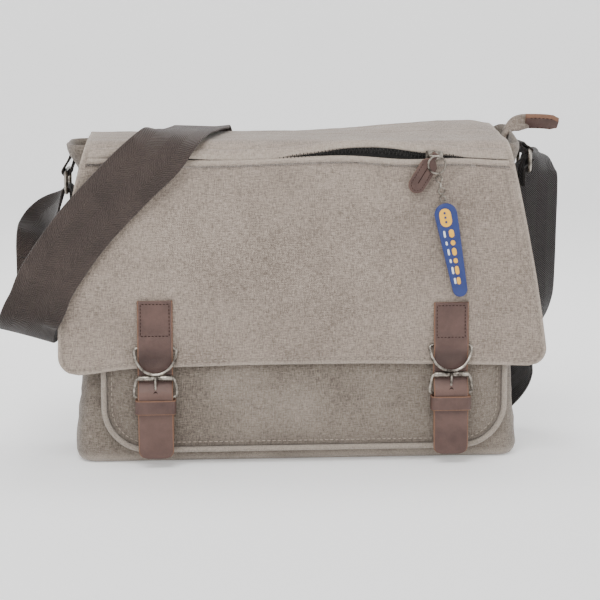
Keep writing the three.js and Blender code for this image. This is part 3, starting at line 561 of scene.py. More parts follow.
def body_shell():
    """The bag's outside: front, gussets and back in one loft, closed below by a bottom with soft edges."""
    turns = np.linspace(0, 1, 240, endpoint=False)
    bottom = [(0.0, inset) for inset in (0.046, 0.030, 0.016)]
    lower = [(0.0006, 0.0075), (0.0022, 0.0040), (0.0052, 0.0015), (0.010, 0.0)]
    rises = bottom + lower + [(z, 0.0) for z in np.linspace(0.018, BODY_TOP, 52)]
    points, uv, shade, wear_and_highlight = [], [], [], []
    for z, inset in rises:
        half_x, half_y = float(body_half_width(z)) - inset, BODY_HALF_DEPTH - inset
        ring, marks = [], []
        for turn in turns:
            (x, y), total = ring_point(turn, half_x, half_y, max(BODY_CORNER - inset, 0.002))
            ring.append((x, y, z))
            marks.append((turn * total, z - inset))
        points.append(ring)
        uv.append(marks)
    points = np.array(points)
    x, y, z = points[..., 0], points[..., 1], points[..., 2]
    rise = np.clip(z / BODY_TOP, 0, 1)
    # The sides cave in a little between the base and the top, and the lower corners stand proud
    waist = np.sin(np.pi * np.clip((z - 0.02) / 0.24, 0, 1))
    free_back = smooth((y - 0.03) / 0.02)
    side = smooth((np.abs(x) - 0.16) / 0.04) * (1 - smooth((np.abs(y) - 0.035) / 0.012))
    points[..., 0] -= np.sign(x) * 0.0025 * waist * smooth((np.abs(x) - 0.12) / 0.08)
    points[..., 0] -= np.sign(x) * side * 0.0025 * smooth((z - 0.01) / 0.08) * smooth((0.30 - z) / 0.08)
    points[..., 0] -= 0.004 * smooth((x - 0.15) / 0.05)
    # Both upper corners stand out as ears, and the right one stands higher
    ear = smooth((z - 0.262) / 0.02) * smooth((np.abs(x) - 0.17) / 0.02)
    points[..., 0] += ear * np.where(x < 0, -0.010, 0.004)
    points[..., 2] += ear * smooth((x - 0.15) / 0.03) * 0.012 * smooth((y + 0.03) / 0.06)
    points[..., 1] += free_back * 0.004 * np.sin(np.pi * rise) * (1 - (x / 0.21) ** 2)
    broad = wrinkle(points * np.array([1.0, 1.0, 0.6]), 22.0, 1.0)
    fine = wrinkle(points * np.array([1.0, 1.0, 2.2]), 55.0, 2.0)
    normal = np.stack([np.where(np.abs(x) > BODY_HALF_WIDTH[0] - 0.01, np.sign(x), 0),
                       np.where(np.abs(y) > BODY_HALF_DEPTH - 0.008, np.sign(y), 0), np.zeros_like(x)], -1)
    behind_pocket = smooth((-y - 0.03) / 0.015) * smooth((0.175 - np.abs(x)) / 0.01)
    behind_pocket = behind_pocket * smooth((z - 0.02) / 0.02)
    swell = (0.0022 * broad + 0.0012 * fine) * smooth(z / 0.02) * (1 - 0.7 * behind_pocket)
    swell = np.minimum(swell, np.where(y < -0.03, 0.0008, 0.003))
    points += normal * swell[..., None]
    # Creases along the base, where the corner folds
    low = np.exp(-((z - 0.012) / 0.012) ** 2)
    points[..., 2] += 0.0012 * low * fine * (z > 0.001)
    # Painted shade: darker along the base creases and in the dents of the broad wrinkles, and a painted shadow of
    # the flap on the front's upper part
    under_flap = smooth((z - 0.17) / 0.1) * smooth((-y - 0.03) / 0.02)
    shade = np.clip(0.25 * low - 0.3 * broad, 0, 1) + 0.5 * under_flap
    wear_and_highlight = 0.7 * np.exp(-((z - 0.004) / 0.004) ** 2) + 0.35 * np.clip(fine, 0, 1)
    mesh = grid("body_shell", points, uv, wrap=True, marks={"shade": shade, "wear_and_highlight": wear_and_highlight})
    body = link("body_shell", mesh, [SHADED_CANVAS], None)
    close_bottom(body, len(turns))
    thicken(body, BODY_CLOTH)
    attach(body, "bag")
    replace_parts(body, "front_panel", "back_panel", "base_panel", "gusset_left", "gusset_right")


def close_bottom(obj, count):
    """Fills the open middle of the first ring with one flat face."""
    mesh = obj.data
    bm = bmesh.new()
    bm.from_mesh(mesh)
    bm.verts.ensure_lookup_table()
    bm.faces.new([bm.verts[k] for k in range(count)][::-1])
    bm.to_mesh(mesh)
    bm.free()


body_shell()


# --- Front pocket with its raised piping ---

POCKET = {"centre": 0.003, "half": 0.176, "low": 0.017, "top": 0.190, "radius": 0.036, "front": -0.0614}


def pocket_path(offset, top=None):
    """Points (x, z) down the left side, round the lower corners and up the right side."""
    c, h, r = POCKET["centre"], POCKET["half"] + offset, POCKET["radius"] + offset
    low, top = POCKET["low"] - offset, POCKET["top"] if top is None else top
    left = [(c - h, z) for z in np.linspace(top, low + r, 30)]
    turn = np.linspace(0, math.pi / 2, 16)[1:]
    corner_l = [(c - h + r - r * math.cos(a), low + r - r * math.sin(a)) for a in turn]
    base = [(x, low) for x in np.linspace(c - h + r, c + h - r, 60)[1:]]
    corner_r = [(c + h - r + r * math.sin(a), low + r - r * math.cos(a)) for a in turn]
    right = [(c + h, z) for z in np.linspace(low + r, top, 30)[1:]]
    return np.array(left + corner_l + base + corner_r + right)


def pocket():
    """The pocket's front, crowned and puckered along the piping, with a short gusset back to the bag."""
    rim = pocket_path(0.0)
    middle_x = POCKET["centre"]
    rows = []
    depth = [(-0.0508, 0.0), (-0.0545, 0.0004), (-0.0585, 0.0)]
    for y, out in depth:
        ring = pocket_path(out)
        rows.append([(x, y, z) for x, z in ring])
    for share in np.linspace(0.004, 1.0, 46) ** 1.15:
        ring = []
        for x, z in rim:
            # Toward the middle of the pocket's top edge, keeping the height order of the outline
            tx = middle_x + (x - middle_x) * (1 - share)
            tz = z + (POCKET["top"] - z) * share
            ring.append((tx, 0.0, tz))
        rows.append(ring)
    points = np.array(rows)
    front = points[len(depth):]
    x, z = front[..., 0], front[..., 2]
    edge = np.minimum(POCKET["half"] - np.abs(x - middle_x), z - POCKET["low"])
    corner_x = np.maximum(np.abs(x - middle_x) - (POCKET["half"] - POCKET["radius"]), 0)
    corner_z = np.maximum(POCKET["low"] + POCKET["radius"] - z, 0)
    edge = np.where((corner_x > 0) & (corner_z > 0),
                    POCKET["radius"] - np.hypot(corner_x, corner_z), edge)
    crown = smooth(edge / 0.022)
    places = np.stack([x, np.zeros_like(x), z], -1)
    folds = wrinkle(places * np.array([1.0, 1.0, 0.35]), 75.0, 5.0)
    broad = wrinkle(places, 17.0, 6.0)
    near = np.exp(-np.maximum(edge, 0) / 0.016)
    puff = -0.0590 - 0.0030 * crown - 0.0016 * near * folds * smooth(edge / 0.004) - 0.0009 * broad * crown
    front[..., 1] = np.maximum(puff, -0.0646)
    uv = np.stack([points[..., 0], points[..., 2] - points[..., 1]], -1)
    # Painted shade: darker along the piping where the pocket dips, over the puckers near it and on the short
    # gusset, and a painted shadow of the flap above z 0.088
    shade = np.zeros(points.shape[:2])
    seam = 0.95 * np.exp(-np.maximum(edge, 0) / 0.0045)
    shade[len(depth):] = np.clip(seam, 0, 1) + 0.35 * near * np.clip(folds, 0, 1)
    shade[len(depth):] += 0.5 * smooth((z - 0.088) / 0.02)
    shade[:len(depth)] = 0.5
    wear_and_highlight = np.zeros(points.shape[:2])
    wear_and_highlight[len(depth):] = 0.5 * np.clip(broad, 0, 1) * crown
    mesh = grid("pocket", points, uv, marks={"shade": shade, "wear_and_highlight": wear_and_highlight})
    obj = link("pocket", mesh, [SHADED_CANVAS], "bag")
    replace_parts(obj, "pocket_panel")
    thicken(obj, 0.0012)


def piping():
    """A cord covered in canvas round the pocket, with a seam line beside it."""
    path = pocket_path(0.0027, top=0.188)
    wave = wrinkle(np.stack([path[:, 0], np.zeros(len(path)), path[:, 1]], 1), 60.0, 8.0)
    points = [(x, -0.0588 - 0.0004 * w, z) for (x, z), w in zip(path, wave)]
    obj = tube("pocket_piping_cloth", points, 0.0025, SHADED_PIPING, "bag")
    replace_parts(obj, "pocket_piping")
    set_points(obj.data, "wear_and_highlight", np.full(len(obj.data.vertices), 0.9))
    seam = pocket_path(-0.0042, top=0.186)
    line = [(x, -0.0597, z) for x, z in seam]
    stitches("pocket_stitches", line, [(0, -1, 0)] * len(line), THREAD, "bag")


pocket()
piping()


# --- Flap ---

# X at the fold, X at the lower edge, and how soon the side flares from one to the other
FLAP_SIDES = ((-0.187, -0.215, 2.3), (0.182, 0.219, 1.25))
FLAP_FOLD = (-0.0445, 0.2892)  # Y and Z where the top turns down
FLAP_BEND = 0.017
FLAP_FRONT_TOP_Z = FLAP_FOLD[1] - FLAP_BEND
FLAP_LOW_Z = 0.087
FLAP_CORNER = 0.018


def flap_profile():
    """Points (y, z) from the back seam over the top and down the front, evenly spaced."""
    back = [(0.0512, 0.2850), (0.0516, 0.2880), (0.0502, 0.2905), (0.0470, 0.2913), (0.020, 0.2908),
            (-0.010, 0.2902), FLAP_FOLD]
    turn = np.linspace(0, math.pi / 2, 14)[1:]
    bend = [(FLAP_FOLD[0] - FLAP_BEND * math.sin(a), FLAP_FRONT_TOP_Z + FLAP_BEND * math.cos(a))
            for a in turn]
    front = []
    for z in np.linspace(FLAP_FRONT_TOP_Z, FLAP_LOW_Z, 60)[1:]:
        share = (FLAP_FRONT_TOP_Z - z) / (FLAP_FRONT_TOP_Z - FLAP_LOW_Z)
        front.append((-0.0615 - 0.0055 * math.sin(min(share * 1.6, 1) * math.pi / 2), z))
    return resample(np.array(back + bend + front), 0.002)


PROFILE = flap_profile()
PROFILE_S = lengths(PROFILE)
FLAP_LENGTH = PROFILE_S[-1]
TOP_SPLIT_S = float(np.interp(0.0, -PROFILE[:80, 0], PROFILE_S[:80]))


def s_at_z(z):
    """How far along the front of the flap's profile a height is."""
    front = PROFILE[:, 0] < -0.05
    return float(np.interp(-z, -PROFILE[front, 1], PROFILE_S[front]))


def flap_edges(z):
    """X of the flap's left and right edges at a height."""
    share = np.clip((FLAP_FOLD[1] - z) / (FLAP_FOLD[1] - FLAP_LOW_Z), 0, 1)
    up = np.clip(FLAP_CORNER - (z - FLAP_LOW_Z), 0, FLAP_CORNER)
    inset = FLAP_CORNER - np.sqrt(np.maximum(FLAP_CORNER ** 2 - up ** 2, 0))
    (left, left_low, a), (right, right_low, b) = FLAP_SIDES
    return (left + (left_low - left) * (1 - (1 - share) ** a) + inset,
            right + (right_low - right) * (1 - (1 - share) ** b) - inset)


def flap_at(across, s, inside=0.0, inset=0.0):
    """Points on the flap for across from -1 to 1 and s along the profile; inside moves them inwards."""
    across, s = np.broadcast_arrays(np.asarray(across, float), np.asarray(s, float))
    y, z = np.interp(s, PROFILE_S, PROFILE[:, 0]), np.interp(s, PROFILE_S, PROFILE[:, 1])
    ahead = np.minimum(s + 0.002, FLAP_LENGTH), np.maximum(s - 0.002, 0)
    dy = np.interp(ahead[0], PROFILE_S, PROFILE[:, 0]) - np.interp(ahead[1], PROFILE_S, PROFILE[:, 0])
    dz = np.interp(ahead[0], PROFILE_S, PROFILE[:, 1]) - np.interp(ahead[1], PROFILE_S, PROFILE[:, 1])
    size = np.hypot(dy, dz)
    out_y, out_z = dz / size, -dy / size
    left, right = flap_edges(z)
    left, right = left + inset, right - inset
    x = left + (right - left) * (across + 1) / 2
    front = smooth((s - s_at_z(0.262)) / 0.03)
    flat = np.stack([x, np.zeros_like(x), s], -1)
    broad = wrinkle(flat * np.array([1.0, 1.0, 0.7]), 13.0, 11.0)
    small = wrinkle(flat * np.array([0.8, 1.0, 1.6]), 48.0, 12.0)
    tiny = wrinkle(flat, 130.0, 13.0)
    off = -0.0006 + 0.0011 * broad * front + 0.0006 * small + 0.00022 * tiny
    off = np.minimum(off, 0.0005)
    # The lower edge dips at both ends, and the top rises towards the right at the back
    middle = 1 - np.clip(np.abs(x) / 0.215, 0, 1) ** 2
    z = z + (0.0048 * middle - 0.0035 * smooth((-x - 0.15) / 0.05)) * smooth((s - FLAP_LENGTH + 0.07) / 0.06)
    back = smooth((y + 0.045) / 0.09)
    z = z + back * (0.0095 * smooth((x + 0.02) / 0.185) - 0.003 * smooth((x - 0.163) / 0.02))
    z = z - 0.0012 * smooth((s / 0.05)) * (1 - front) * middle * smooth(x / 0.1)
    off = off - inside
    return np.stack([x, y + out_y * off, z + out_z * off], -1)


def flap_normals(across, s):
    """Directions square to the flap's cloth."""
    step = 1e-3
    a = flap_at(across, np.minimum(s + step, FLAP_LENGTH)) - flap_at(across, np.maximum(s - step, 0))
    b = flap_at(across + 0.01, s) - flap_at(across - 0.01, s)
    n = np.cross(a, b)
    n /= np.linalg.norm(n, axis=-1, keepdims=True)
    return n


def flap_cloth(name, s0, s1, material, slot, bodies, bend, inside=0.0, inset=0.0, thick=0.0015,
               hem=True):
    """A stretch of the flap's cloth; the bodies and bend it is given are not used."""
    rows = np.linspace(s0, s1, max(int((s1 - s0) / 0.0022), 8))
    columns = np.linspace(-1, 1, 190)
    across, s = np.meshgrid(columns, rows)
    points = flap_at(across, s, inside, inset)
    left, right = flap_edges(np.interp(s, PROFILE_S, PROFILE[:, 1]))
    from_side = np.minimum(across + 1, 1 - across) * (right - left) / 2
    from_low = FLAP_LENGTH - s
    edge = np.minimum(from_side, from_low)
    marks = None
    if hem:
        front = s > s_at_z(0.262)
        raised = (1 - smooth((edge - 0.0095) / 0.001)) * front
        groove = np.exp(-((edge - 0.0045) / 0.0007) ** 2) * front
        out = flap_normals(across, s)
        points = points + out * (0.00045 * raised - 0.00035 * groove)[..., None]
        flat = np.stack([points[..., 0], np.zeros_like(s), s], -1)
        lip = np.exp(-edge / 0.0016)
        # Painted shade: darker in the hem's stitch groove, along the step inside the raised hem, and in broad
        # patches from a noise like the one that wrinkles the flap
        shade = 0.55 * groove + 0.55 * np.exp(-((edge - 0.0102) / 0.0007) ** 2) * front
        shade = shade + 0.25 * np.clip(-wrinkle(flat, 13.0, 11.0), 0, 1)
        wear_and_highlight = 0.9 * lip + 0.35 * raised * np.clip(wrinkle(flat, 60.0, 14.0), 0, 1)
        # Painted highlight: a pale band along the rounded fold at the flap's front top edge, just above the zip
        wear_and_highlight = wear_and_highlight + 0.45 * np.exp(-((s - s_at_z(0.2790)) / 0.010) ** 2)
        marks = {"shade": shade, "wear_and_highlight": wear_and_highlight}
    mesh = grid(name, points, np.stack([points[..., 0], s], -1), marks=marks)
    obj = link(name, mesh, [material], None)
    # Faces look outwards, so the thickness goes in
    if obj.data.polygons[len(obj.data.polygons) // 2].normal @ Vector((0, -1, 0.6)) < 0:
        obj.data.flip_normals()
    thicken(obj, thick)
    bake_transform(obj)
    return obj


BACK_HEM = [(0.0512, 0.2770), (0.0522, 0.2800), (0.0526, 0.2840), (0.0524, 0.2880), (0.0508, 0.2912),
            (0.0470, 0.2928), (0.0420, 0.2932)]
BACK_BEND = ((0, 0.0545, 0.2870), (0, 0.0400, 0.2930))
FRONT_BEND = ((0, -0.0260, 0.2905), (0, -0.0560, 0.2800))


def back_hem():
    """The strip of flap cloth that turns down over the back edge, where the flap is sewn on."""
    left, right = flap_edges(PROFILE[0, 1])
    rows = spline([(0.0, y, z) for y, z in BACK_HEM], 22)
    xs = np.linspace(float(left) + 0.0004, float(right) - 0.0004, 150)
    points = np.repeat(rows[:, None, :], len(xs), 1)
    points[..., 0] = xs
    sag = flap_at(np.linspace(-1, 1, len(xs)), np.full(len(xs), 0.004), 0, 0)[:, 2] - 0.2920
    points[..., 2] += sag * smooth((points[..., 2] - 0.280) / 0.008)
    points[..., 1] += 0.0014 * (points[..., 2] < 0.2915) + 0.0008 * wrinkle(points, 45.0, 61.0)
    mesh = grid("flap_hem_back", points, np.stack([points[..., 0], points[..., 2]], -1))
    obj = link("flap_hem_back", mesh, [CANVAS], None)
    thicken(obj, 0.0011, 0.0)
    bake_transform(obj)


def flap():
    """The flap's canvas and its lining, each in two lengths that meet on the top."""
    back, fold = ("bag", "flap_top"), ("flap_top", "flap_front")
    under = {"inside": 0.0024, "inset": 0.007, "thick": 0.0006, "hem": False}
    top = flap_cloth("flap_cloth_top", 0.0, TOP_SPLIT_S, CANVAS, "canvas", back, BACK_BEND)
    front = flap_cloth("flap_cloth_front", TOP_SPLIT_S, FLAP_LENGTH, CANVAS, "canvas", fold, FRONT_BEND)
    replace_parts(top, "flap_top")
    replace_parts(front, "flap_front")
    inner = flap_cloth("flap_lining_front", TOP_SPLIT_S, FLAP_LENGTH - under["inset"], LINING, "lining", fold,
                       FRONT_BEND, **under)
    flap_cloth("flap_lining_top", 0.012, TOP_SPLIT_S, LINING, "lining", back, BACK_BEND, **under)
    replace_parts(inner, "flap_lining")


flap()


def share_across(x, s):
    """Where x is on the flap at s, from -1 at the left edge to 1 at the right."""
    left, right = flap_edges(np.interp(s, PROFILE_S, PROFILE[:, 1]))
    return (x - left) / (right - left) * 2 - 1


def flap_stitching():
    """Top-stitching beside the hem: down one side, along the bottom and up the other."""
    inset, corner, low_half = 0.0045, 0.0140, 0.2150
    left_side, right_side = [], []
    for s in np.linspace(s_at_z(0.262), FLAP_LENGTH - 0.0185, 90):
        left, right = flap_edges(np.interp(s, PROFILE_S, PROFILE[:, 1]))
        share = inset / (right - left) * 2
        left_side.append((-1 + share, s))
        right_side.append((1 - share, s))
    turn = np.linspace(0, math.pi / 2, 10)
    corners = {}
    for side, angles in ((-1, turn), (1, turn[::-1])):
        places = [(side * (low_half - inset - corner + corner * math.cos(a)) + 0.0020,
                   FLAP_LENGTH - inset - corner + corner * math.sin(a)) for a in angles]
        corners[side] = [(share_across(x, s), s) for x, s in places]
    base_s = FLAP_LENGTH - inset
    base = [(share_across(x, base_s), base_s) for x in np.linspace(-0.195, 0.20, 120)]
    route = np.array(left_side + corners[-1] + base + corners[1] + right_side[::-1])
    line = flap_at(route[:, 0], route[:, 1], -0.00015)
    out = flap_normals(route[:, 0], route[:, 1])
    if out[40] @ np.array([0, -1, 0]) < 0:
        out = -out
    stitches("flap_stitches", line, out, THREAD, "flap_front")


flap_stitching()
back_hem()


# --- Zip in the flap ---

ZIP_S = s_at_z(0.2750)
ZIP_X = (-0.184, 0.152)
ZIP_STEPS = 170


def zip_bow(x):
    """How far the zip sits below its straight line: it rises towards the slider and dips at the strap."""
    return -0.0052 * math.exp(-((x - 0.052) / 0.045) ** 2) + 0.0022 * math.exp(-((x + 0.068) / 0.05) ** 2) \
        + 0.003 * max(0.0, (x - 0.13) / 0.05)


def along_zip(name, x0, x1, rows, material, thick=0.0, wave=None, marks=None):
    """A strip along the zip from (s offset, height) pairs of its cross-section."""
    xs = np.linspace(x0, x1, ZIP_STEPS)
    left, right = flap_edges(PROFILE[np.searchsorted(PROFILE_S, ZIP_S), 1])
    points, uv = [], []
    for x in xs:
        across = (x - left) / (right - left) * 2 - 1
        sway = zip_bow(x) + (wave(x) if wave else 0.0)
        s = np.array([ZIP_S + ds + sway for ds, _ in rows])
        heights = np.array([h for _, h in rows])
        base, out = flap_at(np.full(len(rows), across), s), flap_normals(np.full(len(rows), across), s)
        if out[0] @ np.array([0, -1, 0.3]) < 0:
            out = -out
        points.append(base + out * heights[:, None])
        uv.append(np.stack([np.array([ds for ds, _ in rows]), np.full(len(rows), x)], 1))
    mesh = grid(name, points, uv, marks=marks)
    obj = link(name, mesh, [material], "flap_front")
    if obj.data.polygons[len(obj.data.polygons) // 2].normal @ Vector((0, -1, 0.3)) < 0:
        obj.data.flip_normals()
    if thick:
        thicken(obj, thick)
    return obj


def coil(name, x0, x1, place, body, pitch=0.0016, radius=0.00042, half=0.0022, height=0.0011):
    """Two interlocking rows of zip coil, each loop a short bent wire."""
    points, faces = [], []
    count = int((x1 - x0) / pitch)
    for k in range(count):
        x = x0 + (k + 0.5) * pitch
        side = 1 if k % 2 else -1
        base, down, out = place(x)
        loop = ((-0.25, 0.3), (-0.05, 1.0), (0.55, 1.0), (1.0, 0.2))
        route = [base + down * side * (d * half) + out * (h * height) for d, h in loop]
        start = len(points)
        for j, p in enumerate(route):
            for turn in range(5):
                a = turn * 2 * math.pi / 5
                aside = Vector((math.cos(a) * radius, 0, 0)).to_tuple()
                points.append(p + aside + out * math.sin(a) * radius)
        for j in range(len(route) - 1):
            for t in range(5):
                a, b = start + 5 * j + t, start + 5 * j + (t + 1) % 5
                faces.append((a, b, b + 5, a + 5))
        faces.append(tuple(start + t for t in range(4, -1, -1)))
        faces.append(tuple(start + 5 * (len(route) - 1) + t for t in range(5)))
    mesh = bpy.data.meshes.new(name)
    mesh.from_pydata([tuple(p) for p in points], [], faces)
    return link(name, mesh, COIL, body)


def zip_open(x):
    """1 where the lips part and the coil shows, and 0 where they close over it."""
    return float(smooth((x + 0.045) / 0.04) * (1 - smooth((x - 0.130) / 0.02)))


def zip_gap(x):
    """How far the placket's lip lifts off the zip: closed at the left, widest near the slider."""
    return -0.0012 + 0.0042 * math.exp(-((x - 0.075) / 0.050) ** 2) + 0.0006 * math.sin(x * 38)


def flap_zip():
    """The zip's tape and coil, between two folds of canvas."""
    tape_rows = [(-0.0075, -0.0010), (-0.0050, 0.0006), (0.0, 0.0009), (0.0048, 0.0006), (0.0062, -0.0010)]
    tape = along_zip("flap_zip_cloth", -0.181, 0.170, tape_rows, TAPE, thick=0.0005)
    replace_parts(tape, "flap_zip_tape")
    left, right = flap_edges(0.275)

    def place(x):
        across = (x - left) / (right - left) * 2 - 1
        s = ZIP_S + zip_bow(x)
        base, out = flap_at(across, s, 0.0010 - 0.0024 * zip_open(x)), flap_normals(across, s)
        out = out if out @ np.array([0, -1, 0.3]) > 0 else -out
        down = np.cross(out, np.array([1.0, 0, 0]))
        return base, down, out

    teeth = coil("flap_zip_teeth", ZIP_X[0], ZIP_X[1], place, "flap_front")
    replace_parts(teeth, "flap_zip_chain")
    # The placket above is a rounded fold of canvas, and the one below is a flatter one
    turn = np.linspace(-0.1, 1.15, 12) * math.pi
    upper = [(-0.0200, -0.0008)]
    upper += [(-0.0062 - 0.0046 * math.cos(a), 0.0006 + 0.0030 * max(math.sin(a), -0.1)) for a in turn]
    lower = [(0.0062 - 0.0028 * math.cos(a), 0.0005 + 0.0019 * max(math.sin(a), -0.1)) for a in turn]
    lower += [(0.0125, 0.0002), (0.0155, -0.0010)]
    for name, rows, sign in (("placket_upper", upper, -1), ("placket_lower", lower, 1)):
        count = len(rows)
        # Painted highlight: the top of each placket's rounded fold is paler
        lip = np.array([1 - abs(k / (count - 1) - (0.75 if sign < 0 else 0.25)) * 2 for k in range(count)])
        wear_and_highlight = np.tile(np.clip(lip, 0, 1) * 0.9, (ZIP_STEPS, 1))
        along_zip(name, -0.1865, 0.1805, rows, CANVAS,
                  wave=lambda x, sign=sign: sign * (zip_gap(x) - 0.0012),
                  marks={"wear_and_highlight": wear_and_highlight, "shade": wear_and_highlight * 0})


flap_zip()


# --- Lining and laptop divider ---

def lining():
    """An open box of lining cloth that hangs inside the body, creased towards its floor."""
    turns = np.linspace(0, 1, 160, endpoint=False)
    rises = [(0.0032, 0.046), (0.0032, 0.024), (0.0040, 0.0095), (0.0072, 0.0062), (0.012, 0.0048)]
    rises += [(z, 0.0044) for z in np.linspace(0.022, 0.258, 34)]
    points, uv = [], []
    for z, inset in rises:
        half_x, half_y = float(body_half_width(z)) - inset - 0.003, BODY_HALF_DEPTH - inset
        ring = [ring_point(t, half_x, half_y, max(BODY_CORNER - inset, 0.002)) for t in turns]
        points.append([(x, y, z) for (x, y), _ in ring])
        uv.append([(t * total, z - inset) for t, (_, total) in zip(turns, ring)])
    points = np.array(points)
    x, z = points[..., 0].copy(), points[..., 2]
    waist = np.sin(np.pi * np.clip((z - 0.02) / 0.24, 0, 1))
    points[..., 0] -= np.sign(x) * 0.0045 * waist * smooth((np.abs(x) - 0.12) / 0.08)
    points[..., 0] -= 0.0045 * smooth((x - 0.15) / 0.05)
    folds = wrinkle(points * np.array([1.0, 1.0, 0.4]), 40.0, 21.0)
    inwards = np.stack([-np.sign(points[..., 0]) * (np.abs(points[..., 0]) > 0.185),
                        -np.sign(points[..., 1]) * (np.abs(points[..., 1]) > 0.040), 0 * folds], -1)
    hang = smooth(points[..., 2:] / 0.02) * (1 - smooth((points[..., 2:] - 0.215) / 0.03))
    points += inwards * (0.0010 + 0.0009 * folds)[..., None] * hang
    mesh = grid("lining_cloth", points, uv, wrap=True)
    obj = link("lining_cloth", mesh, [LINING], None)
    close_bottom(obj, len(turns))
    thicken(obj, 0.0005)
    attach(obj, "bag")
    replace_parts(obj, "lining")


def divider():
    """A thin padded wall between the main compartment and the laptop sleeve, with a bound top edge."""
    low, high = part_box("laptop_divider")
    half_x, top, middle = 0.1850, high.z, (low.y + high.y) / 2
    rows = []
    xs, zs = np.linspace(-half_x, half_x, 90), np.linspace(low.z + 0.002, top, 50)
    for side in (-1, 1):
        x, z = np.meshgrid(xs[::side], zs)
        edge = np.minimum(np.minimum(half_x - np.abs(x), z - zs[0]), top - z)
        puff = 0.0007 + 0.0022 * smooth(edge / 0.018)
        quilt = 0.0006 * (np.exp(-((x % 0.06 - 0.03) / 0.0012) ** 2)) * smooth(edge / 0.01)
        y = middle + side * (puff - quilt)
        rows.append(np.stack([x, y, z], -1))
    points = np.concatenate(rows, axis=1)
    mesh = grid("divider_pad", points, np.stack([points[..., 0], points[..., 2]], -1), wrap=True)
    obj = link("divider_pad", mesh, [LINING], None)
    close_rims(obj)
    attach(obj, "bag")
    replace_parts(obj, "laptop_divider")
    rim = [(x, middle, top + 0.0002 * math.sin(40 * x)) for x in np.linspace(-half_x, half_x, 60)]
    tube("divider_binding", rim, 0.0014, TAPE, "bag")


def close_rims(obj):
    """Closes the open rims of a mesh."""
    bm = bmesh.new()
    bm.from_mesh(obj.data)
    bmesh.ops.holes_fill(bm, edges=[e for e in bm.edges if e.is_boundary], sides=0)
    bmesh.ops.recalc_face_normals(bm, faces=bm.faces)
    bm.to_mesh(obj.data)
    bm.free()


lining()
divider()


# --- Leather closures ---

CLOSURE_X = {side: sum(c.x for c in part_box("closure_strap_" + side)) / 2 for side in SIDES}
LEATHER_HALF = 0.0155
LEATHER_THICK = 0.0021
LEATHER_FACE = 0.00125
TAB_LINE = [(-0.0685, 0.136), (-0.0690, 0.122), (-0.0706, 0.114), (-0.07125, 0.1093)]
STRAP_LINE = [(-0.0714, 0.1072), (-0.0707, 0.103), (-0.0694, 0.0985), (-0.0689, 0.093), (-0.0692, 0.0855),
              (-0.0704, 0.0785), (-0.0732, 0.0735), (-0.0756, 0.069), (-0.0764, 0.0645), (-0.0761, 0.0575),
              (-0.0752, 0.045), (-0.0742, 0.031), (-0.0733, 0.016), (-0.0729, 0.010)]
TAIL_CORNER = 0.007
BUCKLE_Y, BUCKLE_BAR_Z = -0.0734, 0.0822


def leather_strip(name, x, line, body, seed):
    """A strip of leather down a centre line of (y, z) points, with tan edges and a round-cornered tail."""
    path = resample(spline(line, 160), 0.0011)
    lean = wrinkle(np.stack([path[:, 1], path[:, 0], path[:, 0] * 0 + x], -1), 18.0, seed) * 0.0006
    rows = [(x + shift, y, z) for (y, z), shift in zip(path, lean)]
    z = path[:, 1]
    up = np.clip(TAIL_CORNER - (z - z[-1]), 0, TAIL_CORNER)
    widths = LEATHER_HALF - TAIL_CORNER + np.sqrt(np.maximum(TAIL_CORNER ** 2 - up ** 2, 0))
    wear_and_highlight = 0.5 * np.clip(wrinkle(np.stack([z, z * 0, z * 0 + x], -1), 60.0, seed + 3), 0, 1)
    wear_and_highlight += 0.6 * np.exp(-((z - 0.069) / 0.006) ** 2)
    # Painted shade: a dark band where the strap bends inwards at z 0.097, and a painted shadow just under the
    # buckle's upper bar
    shade = 0.7 * np.exp(-((z - 0.097) / 0.009) ** 2) + 0.5 * np.exp(-((z - 0.0795) / 0.004) ** 2)
    return band(name, rows, [(1, 0, 0)] * len(rows), LEATHER_HALF, LEATHER_THICK, [LEATHER, EDGE], body,
                bulge=0.0002, marks={"wear_and_highlight": wear_and_highlight, "shade": shade}, half_at=lambda k: widths[k])


def oval_hole(name, x, y, z, half_x, half_z, body):
    """A punched hole with a slightly raised dark rim, whose floor is a dark disc of painted shade."""
    turn = np.linspace(0, 2 * math.pi, 24, endpoint=False)
    rings = [(1.0, 0.0), (1.12, -0.00022), (0.98, -0.00028), (0.86, -0.0001), (0.82, 0.0009)]
    points = [[(x + math.cos(a) * half_x * k, y + dy, z + math.sin(a) * half_z * k) for a in turn]
              for k, dy in rings]
    mesh = grid(name, points, [[(p[0], p[2]) for p in r] for r in points], wrap=True, caps=True)
    link(name, mesh, [DARK_THREAD], body)


def tab_stitching(side, x, top):
    """The stitched rectangle that holds the tab to the flap."""
    inset, low, steps = 0.0030, top - 0.031, np.linspace(0, 1, 12)
    a, b, high = x - LEATHER_HALF + inset, x + LEATHER_HALF - inset, top - inset
    corners = [(a, high), (b, high), (b, low), (a, low), (a, high)]
    for k, (p, q) in enumerate(zip(corners, corners[1:])):
        zs = p[1] + (q[1] - p[1]) * steps
        ys = np.interp(zs, [0.114, 0.122, 0.136, top], [-0.0706, -0.0690, -0.0685, -0.0684]) - LEATHER_FACE
        row = [(p[0] + (q[0] - p[0]) * t, y, z) for t, y, z in zip(steps, ys, zs)]
        stitches(f"tab_stitches_{side}_{k}", row, [(0, -1, 0)] * 12, DARK_THREAD, "flap_front",
                 length=0.0021, gap=0.0010, width=0.0009, height=0.0003)


